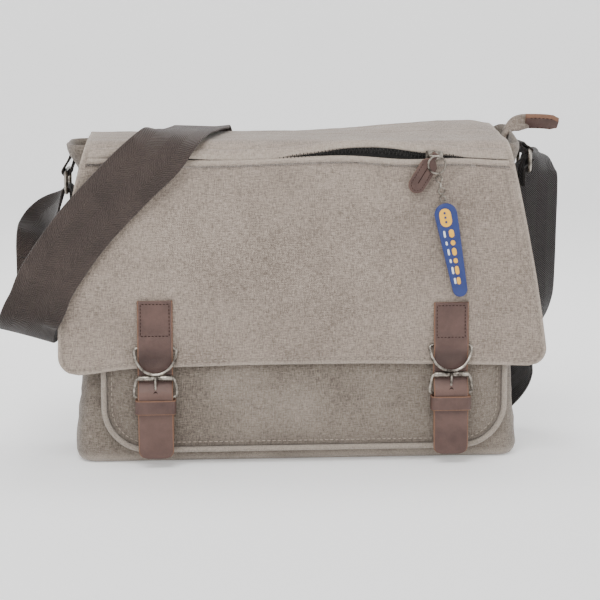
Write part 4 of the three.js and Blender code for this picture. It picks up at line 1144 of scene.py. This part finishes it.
def closure(side):
    """One strap from the flap through the D-ring and buckle to its tail, with its backing and keeper."""
    x, body = CLOSURE_X[side], "closure_" + side
    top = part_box("flap_tab_" + side)[1].z
    line = [(-0.0684, top)] + TAB_LINE + STRAP_LINE
    strap = leather_strip("leather_strap_" + side, x, line, None, seed=31 if side == "left" else 37)
    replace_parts(strap, "flap_tab_" + side, "closure_strap_" + side)
    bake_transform(strap)
    tab_stitching(side, x, top)
    oval_hole("prong_slot_" + side, x, -0.0767, 0.0665, 0.0019, 0.0042, body)
    low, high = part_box("closure_backing_" + side)
    route = [(-0.0680, high.z), (-0.0680, (low.z + high.z) / 2), (-0.0682, low.z)]
    backing = leather_strip("leather_backing_" + side, (low.x + high.x) / 2, route, body, seed=41)
    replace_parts(backing, "closure_backing_" + side)
    keeper(side, x)


def keeper(side, x):
    """A leather loop whose thick tan top edge shows."""
    low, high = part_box("keeper_" + side)
    half_x, half_y = (high.x - low.x) / 2 - 0.0007, (high.y - low.y) / 2 - 0.0007
    mid_y = (low.y + high.y) / 2
    ring = [ring_point(t, half_x, half_y, 0.0034)[0] for t in np.linspace(0, 1, 96, endpoint=False)]
    ring = np.array([(x + a, mid_y + b) for a, b in ring])
    centre = np.array([(a, b, (low.z + high.z) / 2) for a, b in np.vstack([ring, ring[:1]])])
    bow = 0.0009 * np.cos((centre[:, 0] - x) / half_x * math.pi / 2) * (centre[:, 1] < mid_y)
    centre[:, 1] -= bow * 0.4
    half = (high.z - low.z) / 2 - 0.0002
    obj = band("leather_keeper_" + side, centre, [(0, 0, 1)] * len(centre), half, 0.0018, [LEATHER, EDGE],
               "closure_" + side, bulge=0.0002)
    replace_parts(obj, "keeper_" + side)


for side in SIDES:
    closure(side)


# --- Metal that keeps its CAD shape ---

def dress(node, material):
    """Gives a CAD node a material in place of its plain one."""
    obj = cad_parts[node]
    obj.data.materials.clear()
    obj.data.materials.append(material)
    for face in obj.data.polygons:
        face.use_smooth = True


for side in SIDES:
    for part in ("d_ring_", "buckle_frame_", "side_ring_", "snap_stud_", "snap_socket_"):
        dress(part + side, METAL)


def prong(side):
    """A rounded prong that wraps the buckle's lower bar and rests on its upper one."""
    x = CLOSURE_X[side]
    line = [(-0.0734, 0.0640), (-0.0719, 0.0655), (-0.0731, 0.0672), (-0.0744, 0.0715), (-0.0755, 0.0760),
            (-0.0759, 0.0795), (-0.0761, 0.0829)]
    path = [(x, y, z) for y, z in spline(line, 40)]
    obj = tube("buckle_pin_" + side, path, 0.00105, METAL, "buckle_prong_" + side)
    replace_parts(obj, "buckle_prong_" + side)


def roller(side):
    """The sleeve that turns on the buckle's upper bar, in two halves beside the prong."""
    x, z = CLOSURE_X[side], BUCKLE_BAR_Z
    for name, a, b in (("a", -0.0152, -0.0014), ("b", 0.0014, 0.0152)):
        turn = np.linspace(0, 2 * math.pi, 20, endpoint=False)
        steps = [(a, 0.0014), (a, 0.0022), (a + 0.0004, 0.0025),
                 (b - 0.0004, 0.0025), (b, 0.0022), (b, 0.0014)]
        rows = [[(x + dx, BUCKLE_Y + r * math.sin(t), z + r * math.cos(t)) for t in turn] for dx, r in steps]
        flat = [[(p[0], p[2]) for p in r] for r in rows]
        mesh = grid(f"buckle_roller_{side}_{name}", rows, flat, wrap=True)
        link(f"buckle_roller_{side}_{name}", mesh, [METAL], "closure_" + side)


for side in SIDES:
    prong(side)
    roller(side)


# --- Shoulder strap ---

STRAP_HALF, STRAP_THICK = 0.0254, 0.0022
# Each station is a centre and the direction across the width, in millimetres
STRAP_FRONT = [
    ((-235, 60, 172), (-1, 0, 0)), ((-235, 60, 161), (-1, 0, 0)), ((-235, 56, 143), (-1, 0, 0)),
    ((-237, 38, 126), (-0.98, -0.1, 0.1)), ((-239, 4, 118), (-0.96, -0.12, 0.22)),
    ((-242, -36, 117), (-0.94, -0.1, 0.3)), ((-243, -64, 123), (-0.95, -0.1, 0.26)),
    ((-238.5, -76, 135), (-0.99, -0.08, 0.08)), ((-231, -76, 149), (-1, 0, -0.02)),
    ((-224, -73.5, 166), (-0.99, 0, 0.12)), ((-211.4, -71.8, 186), (-0.95, 0, 0.31)),
    ((-197, -71.2, 206), (-0.87, 0, 0.49)), ((-184.4, -70.8, 221), (-0.84, 0, 0.54)),
    ((-160.8, -70.2, 246), (-0.84, 0, 0.54)), ((-143, -69.4, 263.5), (-0.86, 0.05, 0.5)),
    ((-127, -67, 278), (-0.88, 0.14, 0.44)), ((-115, -58.5, 290.5), (-0.9, 0.3, 0.25)),
    ((-105, -40, 295), (-0.93, 0.36, 0.06)), ((-97, -8, 294.8), (-0.95, 0.32, 0)),
    ((-90, 24, 295), (-0.95, 0.3, 0)), ((-86, 44, 294.4), (-0.95, 0.3, 0)),
    ((-84, 56.5, 291), (-0.95, 0.18, -0.2)), ((-82.6, 60, 286), (-0.93, 0.03, -0.33)),
    ((-81.2, 60.4, 281.6), (-0.93, 0, -0.35)),
]
STRAP_LEFT = [
    ((-203.4, 0, 228), (0, 1, 0)), ((-203.4, 0, 240), (0, 1, 0)), ((-204.6, 0, 243.6), (0, 1, 0)),
    ((-207, 0, 244.6), (0, 1, 0)), ((-209.6, 0, 243.4), (0, 1, 0)), ((-210.8, 0, 240), (0, 1, 0)),
    ((-213.5, 2, 231), (-0.05, 1, 0)), ((-219, 12, 219), (-0.2, 0.98, 0)), ((-227, 32, 205), (-0.6, 0.8, 0)),
    ((-234, 52, 194), (-0.93, 0.35, 0)), ((-235, 59.5, 182), (-1, 0, 0)), ((-235, 60, 172.4), (-1, 0, 0)),
]
STRAP_BACK = [
    ((-81.1, 60.45, 281.2), (-0.93, 0, -0.35)), ((-78.2, 61.2, 273), (-0.92, 0, -0.38)),
    ((-73.4, 62, 261), (-0.88, 0, -0.48)), ((-59, 63, 236), (-0.82, 0, -0.58)),
    ((-34, 64, 200), (-0.78, 0, -0.63)), ((2, 65, 154), (-0.75, 0, -0.66)),
    ((42, 66, 108), (-0.73, 0, -0.69)),
    ((84, 67, 70), (-0.66, 0, -0.75)), ((116, 68, 51), (-0.5, 0, -0.86)), ((125, 68, 45.3), (-0.5, 0, -0.86)),
]
STRAP_RIGHT = [
    ((125.4, 68, 45.0), (-0.5, 0, -0.86)), ((134, 68.3, 40.6), (-0.43, 0, -0.9)),
    ((163, 70.5, 35), (-0.2, -0.2, -0.95)), ((195, 70.5, 37), (0, -0.4, -0.92)),
    ((213, 56, 54), (0.1, -0.7, -0.7)), ((222, 32, 80), (0, -0.9, -0.43)),
    ((223.5, 12, 106), (-0.45, -0.85, -0.2)), ((221, 2, 135), (-0.75, -0.66, 0)),
    ((218.5, 0, 170), (-0.86, -0.5, 0)), ((218, -2, 205), (-0.88, -0.48, 0)),
    ((218, -4, 236), (-0.88, -0.48, 0)),
    ((218.5, -5, 256), (-0.82, -0.57, 0.1)), ((218.5, -3, 268), (-0.6, -0.8, 0.1)),
    ((215, -1, 273.5), (-0.2, -0.98, 0)), ((211.5, 0, 270.5), (0, -1, 0)),
    ((209, 0, 264.5), (0, -1, 0)), ((207, 0, 262.0), (0, -1, 0)),
    ((204.6, 0, 260.6), (0, -1, 0)), ((203.4, 0, 257), (0, -1, 0)), ((203.4, 0, 244), (0, -1, 0)),
]


def centripetal(points, shares):
    """A smooth curve through points whose speed follows the root of each gap, at shares from 0 to 1."""
    points = np.asarray(points, float)
    padded = np.vstack([2 * points[0] - points[1], points, 2 * points[-1] - points[-2]])
    out = []
    for share in shares:
        t = share * (len(points) - 1)
        k = min(int(t), len(points) - 2)
        p = padded[k:k + 4]
        gaps = np.maximum(np.linalg.norm(np.diff(p, axis=0), axis=1) ** 0.5, 1e-4)
        a, b, c = gaps
        m1 = (p[1] - p[0]) / a - (p[2] - p[0]) / (a + b) + (p[2] - p[1]) / b
        m2 = (p[2] - p[1]) / b - (p[3] - p[1]) / (b + c) + (p[3] - p[2]) / c
        m1, m2, f = m1 * b, m2 * b, t - k
        out.append(p[1] + m1 * f + (-3 * p[1] + 3 * p[2] - 2 * m1 - m2) * f ** 2
                   + (2 * p[1] - 2 * p[2] + m1 + m2) * f ** 3)
    return np.array(out)


def strap(name, stations, body, node, steps, shade, held, rests):
    """A stretch of webbing; shade gives the painted shade at each point of its centre line."""
    shares = np.linspace(0, 1, steps)
    centre = centripetal([c for c, _ in stations], shares) * MM
    across = spline([w for _, w in stations], steps)
    obj = band(name, centre, across, STRAP_HALF, STRAP_THICK, [WEBBING], body,
               marks={"shade": [float(shade(c)) for c in centre]}, columns=26)
    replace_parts(obj, node)
    list(rests)
    return obj


def straps():
    """The strap's four stretches, from the left ring over the flap and down the back to the right ring."""
    # Painted shade: darker where the strap runs low round the left side and up to the left ring, and along the
    # right side
    front = strap("strap_webbing_front", STRAP_FRONT, "bag", "strap_front", 260,
                  lambda c: float(smooth((0.175 - c[2]) / 0.06)) * 0.8, "draped", ["flap_cloth_front"])
    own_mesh(front)
    left = strap("strap_webbing_left", STRAP_LEFT, None, "strap_left_end", 120,
                 lambda c: 0.8 * float(smooth((c[2] - 0.175) / 0.03)), "hung", ["side_ring_left"])
    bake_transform(left)
    strap("strap_webbing_back", STRAP_BACK, "bag", "strap_back", 140, lambda c: 0.0, "draped", ["body_shell"])
    right = strap("strap_webbing_right", STRAP_RIGHT, None, "strap_right_end", 220,
                  lambda c: 1.1 * float(smooth((c[0] - 0.13) / 0.06)), "hung", ["side_ring_right"])
    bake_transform(right)


straps()


def side_tab(side, sign):
    """Webbing that comes down from the gusset, round the ring's upper bar and back up."""
    low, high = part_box("side_ring_" + side)
    x, bar = (low.x + high.x) / 2, high.z - 0.0018
    loop = 0.0036
    rise = 0.016 if sign < 0 else 0.007
    stops = [(-0.0072, rise), (-0.0066, rise * 0.6), (-loop, 0.001), (-loop * 0.75, -loop * 0.7),
             (0, -loop), (loop * 0.75, -loop * 0.7), (loop, 0.001), (-0.0016, rise * 0.6), (-0.0044, rise)]
    path = spline([(x + sign * a, 0, bar + b) for a, b in stops], 60)
    # Painted shade: the side tabs are darkened evenly
    obj = band("ring_tab_" + side, path, [(0, 1, 0)] * 60, 0.021, 0.0016, [WEBBING], "bag",
               marks={"shade": [0.7] * 60})
    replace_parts(obj, "side_tab_" + side)


side_tab("left", -1)
side_tab("right", 1)


# --- Top zip ---

def top_zip():
    """Two canvas flaps with a black tape and coil along their inner edges."""
    for name, sign in (("front", -1), ("back", 1)):
        body = "zip_tape_" + name
        low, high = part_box(body)
        xs = np.linspace(low.x + 0.0040, high.x - 0.0070, 150)
        shares = np.linspace(0, 1, 22)
        x, t = np.meshgrid(xs, shares)
        y = sign * (0.0452 + (0.0048 - 0.0452) * t)
        ripple = wrinkle(np.stack([x, y, 0 * x], -1), 40.0, 51.0 + sign)
        z = 0.2674 + 0.0042 * t + 0.0008 * ripple * np.sin(math.pi * t)
        mesh = grid("zip_flap_" + name, np.stack([x, y, z], -1), np.stack([x, y], -1))
        obj = link("zip_flap_" + name, mesh, [CANVAS], body)
        thicken(obj, 0.0010, 0.0)
        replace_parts(obj, body)
        t = np.linspace(0, 1, 8)
        x, t = np.meshgrid(xs, t)
        y = sign * (0.0085 + (0.0012 - 0.0085) * t)
        z = 0.2716 + 0.0010 * t
        mesh = grid("zip_tape_" + name, np.stack([x, y, z], -1), np.stack([x, y], -1))
        thicken(link("zip_black_tape_" + name, mesh, [TAPE], body), 0.0006, 0.0)
        place = lambda px, s=sign: (np.array([px, s * 0.0014, 0.2730]), np.array([0.0, s, 0.0]),
                                    np.array([0.0, 0.0, 1.0]))
        coil("zip_coil_" + name, -0.174, high.x - 0.002, place, body, pitch=0.0022, half=0.0016,
             height=0.0008)
        line = [(px, sign * 0.0105, 0.2722) for px in np.linspace(low.x + 0.004, high.x - 0.004, 60)]
        stitches("zip_stitches_" + name, line, [(0, 0, 1)] * 60, THREAD, body, height=0.0003)


def zip_tail():
    """The zip's end in a canvas sleeve that twists over to the right, with a folded leather end."""
    stations = [((189.5, 12, 277), (0, 1, 0)), ((190.5, 12, 287), (0, 0.9, 0.43)),
                ((196, 12, 295), (0, 0.5, 0.87)),
                ((204, 12, 299), (0, 0.1, 1)), ((212.5, 12, 300.6), (0, -0.4, 0.92))]
    shares = np.linspace(0, 1, 60)
    centre, across = centripetal([c for c, _ in stations], shares) * MM, spline([w for _, w in stations], 60)
    pinch = lambda k: 0.0073 - 0.0028 * math.sin(math.pi * min(1.0, k / 42)) ** 2
    obj = band("zip_tail_sleeve", centre, across, 0.0073, 0.0034, [CANVAS], "bag", bulge=0.0006,
               marks={"shade": np.linspace(0.1, 0.35, 60)}, half_at=pinch)
    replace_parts(obj, "zip_tail")
    stations = [(209.5, 12, 300.6), (226, 12, 300.2), (240, 12, 298.6)]
    centre = centripetal(stations, np.linspace(0, 1, 40)) * MM
    wide = lambda k: 0.0080 - 0.0022 * float(smooth((k - 30) / 9))
    tab = band("zip_tail_leather", centre, [(0, -0.6, 0.8)] * 40, 0.008, 0.0048, [LEATHER, EDGE], "bag",
               bulge=0.0005, half_at=wide)
    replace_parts(tab, "zip_tail_tab")
    out = np.array([0, -0.8, -0.6])
    w = np.array([0, -0.6, 0.8])
    for k, shift in enumerate((-0.0055, 0.0055)):
        row = centre[3:34] + w * shift + out * 0.0026
        stitches(f"tail_stitches_{k}", row, [out] * len(row), DARK_THREAD, "bag", length=0.0022,
                 height=0.0003)


def slider_shape(name, low, high, body, material, axis):
    """A zip slider: a waisted wedge with rounded edges, long way along X, facing axis."""
    centre, half = (np.array(low) + np.array(high)) / 2, (np.array(high) - np.array(low)) / 2
    rows = []
    for t, (swell, rise) in zip(np.linspace(-1, 1, 15), [(0.86, 0.7), (0.97, 0.92), (1.0, 1.0)] + [(1.0, 1.0)] * 9
                                + [(0.98, 1.0), (0.93, 0.92), (0.8, 0.7)]):
        waist = 0.72 + 0.28 * abs(t) if t > 0 else 1.0
        ring = []
        for a in np.linspace(0, 2 * math.pi, 20, endpoint=False):
            c, s = math.cos(a), math.sin(a)
            u = math.copysign(abs(c) ** 0.45, c) * swell * waist
            v = math.copysign(abs(s) ** 0.45, s) * rise
            p = centre.copy()
            p[0] += half[0] * t
            p[1] += half[1] * (u if axis == "z" else v)
            p[2] += half[2] * (v if axis == "z" else u)
            ring.append(p)
        rows.append(ring)
    mesh = grid(name, rows, [[(p[0], p[1]) for p in r] for r in rows], wrap=True, caps=True)
    return link(name, mesh, [material], body)


def flap_slider():
    low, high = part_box("flap_zip_slider")
    front = low.y + 0.0064
    wedge = slider_shape("zip_slider_body", (low.x, front, low.z), (high.x, high.y, high.z),
                         "flap_zip_slider", METAL,
                         "y")
    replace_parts(wedge, "flap_zip_slider")
    x, z = (low.x + high.x) / 2, (low.z + high.z) / 2
    route = spline([(x - 0.005, front + 0.0006, z), (x - 0.005, low.y + 0.0020, z),
                    (x - 0.003, low.y + 0.0008, z), (x + 0.003, low.y + 0.0008, z),
                    (x + 0.005, low.y + 0.0020, z), (x + 0.005, front + 0.0006, z)],
                   40)
    tube("zip_slider_bridge", route, 0.0008, METAL, "flap_zip_slider")


def outline_slab(name, outline, centre, turn, thick, materials, body, crown=0.0004):
    """A slab with a rounded outline that faces the front, turned by turn about its pivot at the top."""
    outline = np.asarray(outline, float)
    middle = outline.mean(0)
    steps = [(0.0, -1.0, 0.30), (0.55, -1.0, 0.2), (0.85, -1.0, 0.05), (0.955, -0.98, 0.0), (0.99, -0.8, 0.0),
             (1.0, -0.5, 0.0), (1.0, 0.5, 0.0), (0.99, 0.8, 0.0), (0.955, 0.98, 0.0), (0.55, 1.0, 0.0)]
    rows, uv = [], []
    c, s = math.cos(turn), math.sin(turn)
    for share, depth, bulge in steps[1:]:
        ring = middle + (outline - middle) * share
        y = centre[1] + depth * thick / 2 - bulge * crown
        rows.append([(centre[0] + a * c + b * s, y, centre[2] - a * s + b * c)
                     for a, b in ring])
        uv.append(ring + 0.1)
    mesh = grid(name, rows, uv, wrap=True, caps=True)
    count = len(outline)
    if len(materials) > 1:
        for n, face in enumerate(mesh.polygons):
            if 3 * count <= n < 6 * count:
                face.material_index = 1
    return link(name, mesh, materials, body)


def capsule(top, low, half_top, half_low, steps=14):
    """An outline with rounded ends: half widths at the top and the low end, heights of the two ends."""
    turn = np.linspace(0, math.pi, steps)
    points = [(half_low * math.cos(math.pi + a), low + half_low + half_low * math.sin(math.pi + a))
              for a in turn]
    points += [(half_top * math.cos(a), top - half_top + half_top * math.sin(a)) for a in turn]
    dense = np.array(points + points[:1])
    return resample(dense, 0.0012)[:-1]


def pull_tab():
    """The leather pull on the flap's zip: a tongue, a rounded tab, a stitched border and a dark cord of painted
    shade for a pressed groove.
    """
    pivot = (0.115, -0.06829, 0.27518)
    half, end, neck = 0.0075, -0.037, 0.0026
    turn = np.linspace(0, math.pi, 16)
    outline = [(-neck, 0.0024), (-neck, -0.0036), (-half * 0.8, -0.0066), (-half, -0.0086)]
    outline += [(half * math.cos(math.pi + a), end + half + half * math.sin(math.pi + a)) for a in turn]
    outline += [(half, -0.0086), (half * 0.8, -0.0066), (neck, -0.0036), (neck, 0.0024)]
    dense = resample(np.array(outline + outline[:1]), 0.0011)[:-1]
    obj = outline_slab("zip_pull_leather", dense, pivot, 0.55, 0.0019, [LEATHER, EDGE], "flap_zip_pull")
    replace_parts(obj, "flap_zip_pull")
    c, s = math.cos(0.55), math.sin(0.55)
    place = lambda a, b, out: (pivot[0] + a * c + b * s, pivot[1] - out, pivot[2] - a * s + b * c)
    inner = 0.0052
    row = [place(-inner, b, 0.0013) for b in np.linspace(-0.0105, end + half, 20)]
    row += [place(inner * math.cos(math.pi + a), end + half + inner * math.sin(math.pi + a), 0.0013)
            for a in turn]
    row += [place(inner, b, 0.0013) for b in np.linspace(end + half, -0.0105, 20)]
    stitches("zip_pull_stitches", row, [(0, -1, 0)] * len(row), DARK_THREAD, "flap_zip_pull",
             length=0.0017, gap=0.0009, width=0.0006, height=0.0002)
    # Painted shade: a dark cord stands in for the shade in the pressed groove
    tube("zip_pull_groove", [place(0, b, 0.00105) for b in np.linspace(-0.0125, end + 0.009, 12)], 0.0004,
         DARK_THREAD, "flap_zip_pull")


def tag():
    """A rubber tag: a blue field with raised generic yellow bars, white dashes and blue dots."""
    pivot = Vector((0.1216, -0.0739, 0.2382))
    lean, gap, length = -0.2, 0.0042, 0.084
    field = capsule(-gap, -gap - length, 0.010, 0.0065)
    obj = outline_slab("tag_base", field, pivot, lean, 0.0030, [BLUE], "charm", crown=0.0)
    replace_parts(obj, "charm_tag")
    c, s = math.cos(lean), math.sin(lean)
    front = pivot.y - 0.0014

    def raised(name, outline, material, depth, height):
        rows = []
        outline = np.asarray(outline)
        middle = outline.mean(0)
        for share, out in ((1.0, 0.0), (1.0, height * 0.7), (0.95, height), (0.5, height)):
            ring = middle + (outline - middle) * share
            rows.append([(pivot.x + a * c + b * s, front - depth - out, pivot.z - a * s + b * c)
                         for a, b in ring])
        mesh = grid(name, rows, [[(p[0], p[2]) for p in r] for r in rows], wrap=True, caps=True)
        link(name, mesh, [material], "charm")

    def bar(name, a, b0, b1, half, material, depth=0.0, height=0.0008):
        outline = [(x + a, y) for x, y in capsule(b1, b0, half, half, 9)]
        raised(name, outline, material, depth, height)

    bar("tag_panel", -0.0010, -0.0250, -0.0085, 0.0052, YELLOW)
    for k, (y0, y1) in enumerate(((-0.0350, -0.0275), (-0.0420, -0.0372), (-0.0510, -0.0440),
                                  (-0.0580, -0.0532),
                                  (-0.0680, -0.0602), (-0.0770, -0.0702))):
        width = 0.0036 - 0.0002 * k
        bar(f"tag_block_{k}", 0.0016 - 0.0003 * k, y0, y1, width * 0.62, YELLOW)
        bar(f"tag_dash_{k}", -0.0046 + 0.0003 * k, y0 + 0.001, y1, 0.0009, WHITE)
    for k, y in enumerate((-0.0125, -0.0165, -0.0205)):
        bar(f"tag_dot_{k}", -0.0012, y - 0.0012, y + 0.0012, 0.0011, BLUE, 0.0008, 0.0005)


top_zip()
zip_tail()
flap_slider()
pull_tab()
tag()
for node in ("key_ring", "charm_chain", "charm_link"):
    dress(node, METAL)
low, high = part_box("top_zip_slider")
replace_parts(slider_shape("top_slider_body", low, high, "top_zip_slider", METAL, "z"), "top_zip_slider")


def top_pull():
    low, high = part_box("top_zip_pull")
    xs = np.linspace(low.x, high.x, 30)
    path = [(x, 0, (low.z + high.z) / 2) for x in xs]
    width = lambda k: 0.0040 * min(1.0, 0.55 + 0.06 * k) * math.sqrt(max(0.05, 1 - max(0, (k - 26) / 4) ** 2))
    obj = band("top_pull_leather", path, [(0, 1, 0)] * 30, 0.004, 0.0019, [LEATHER, EDGE], "top_zip_pull",
               half_at=width)
    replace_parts(obj, "top_zip_pull")


top_pull()


# --- Studio ---

def light(name, place, size, power, aim=(0, 0, 0.12), spread=180):
    data = bpy.data.lights.new(name, "AREA")
    data.size = size
    data.energy = power
    data.spread = math.radians(spread)
    obj = bpy.data.objects.new(name, data)
    obj.location = place
    obj.rotation_euler = (Vector(place) - Vector(aim)).to_track_quat("Z", "Y").to_euler()
    bpy.context.collection.objects.link(obj)


BACKDROP_GLOW = 0.28


def studio():
    """A pale floor that curves up all round the bag, with soft light from above and both sides."""
    profile = [(0.0005, 0.0), (0.8, 0.0), (2.4, 0.0)]
    profile += [(2.4 + 0.9 * math.sin(a), 0.9 - 0.9 * math.cos(a))
                for a in np.linspace(0, math.pi / 2, 16)[1:]]
    profile += [(3.3, 3.2)]
    turn = np.linspace(0, 2 * math.pi, 96, endpoint=False)
    rows = [[(r * math.cos(a), r * math.sin(a), z) for a in turn] for r, z in profile]
    mesh = grid("backdrop", rows, [[(p[0], p[1]) for p in row] for row in rows], wrap=True)
    n = Nodes("backdrop")
    fine = n.noise(3.0, 2.0)
    material = n.done(Base_Color=n.mix(fine, (0.9, 0.9, 0.9, 1), (0.94, 0.94, 0.94, 1)), Roughness=0.95,
                      Emission_Color=(1, 1, 1, 1), Emission_Strength=BACKDROP_GLOW)
    link("backdrop", mesh, [material], None)
    light("key", (-0.5, -1.5, 2.0), 1.2, 40)
    light("fill", (1.6, -1.3, 1.0), 1.4, 7)
    light("top", (0.0, 0.3, 2.2), 1.6, 11)
    light("back_wall", (0.0, 0.6, 1.6), 1.6, 20, aim=(0, 2.0, 0.4))
    world = bpy.data.worlds.new("world")
    bpy.context.scene.world = world
    world.use_nodes = True
    world.node_tree.nodes["Background"].inputs[0].default_value = (1, 1, 1, 1)
    world.node_tree.nodes["Background"].inputs[1].default_value = 0.34


studio()
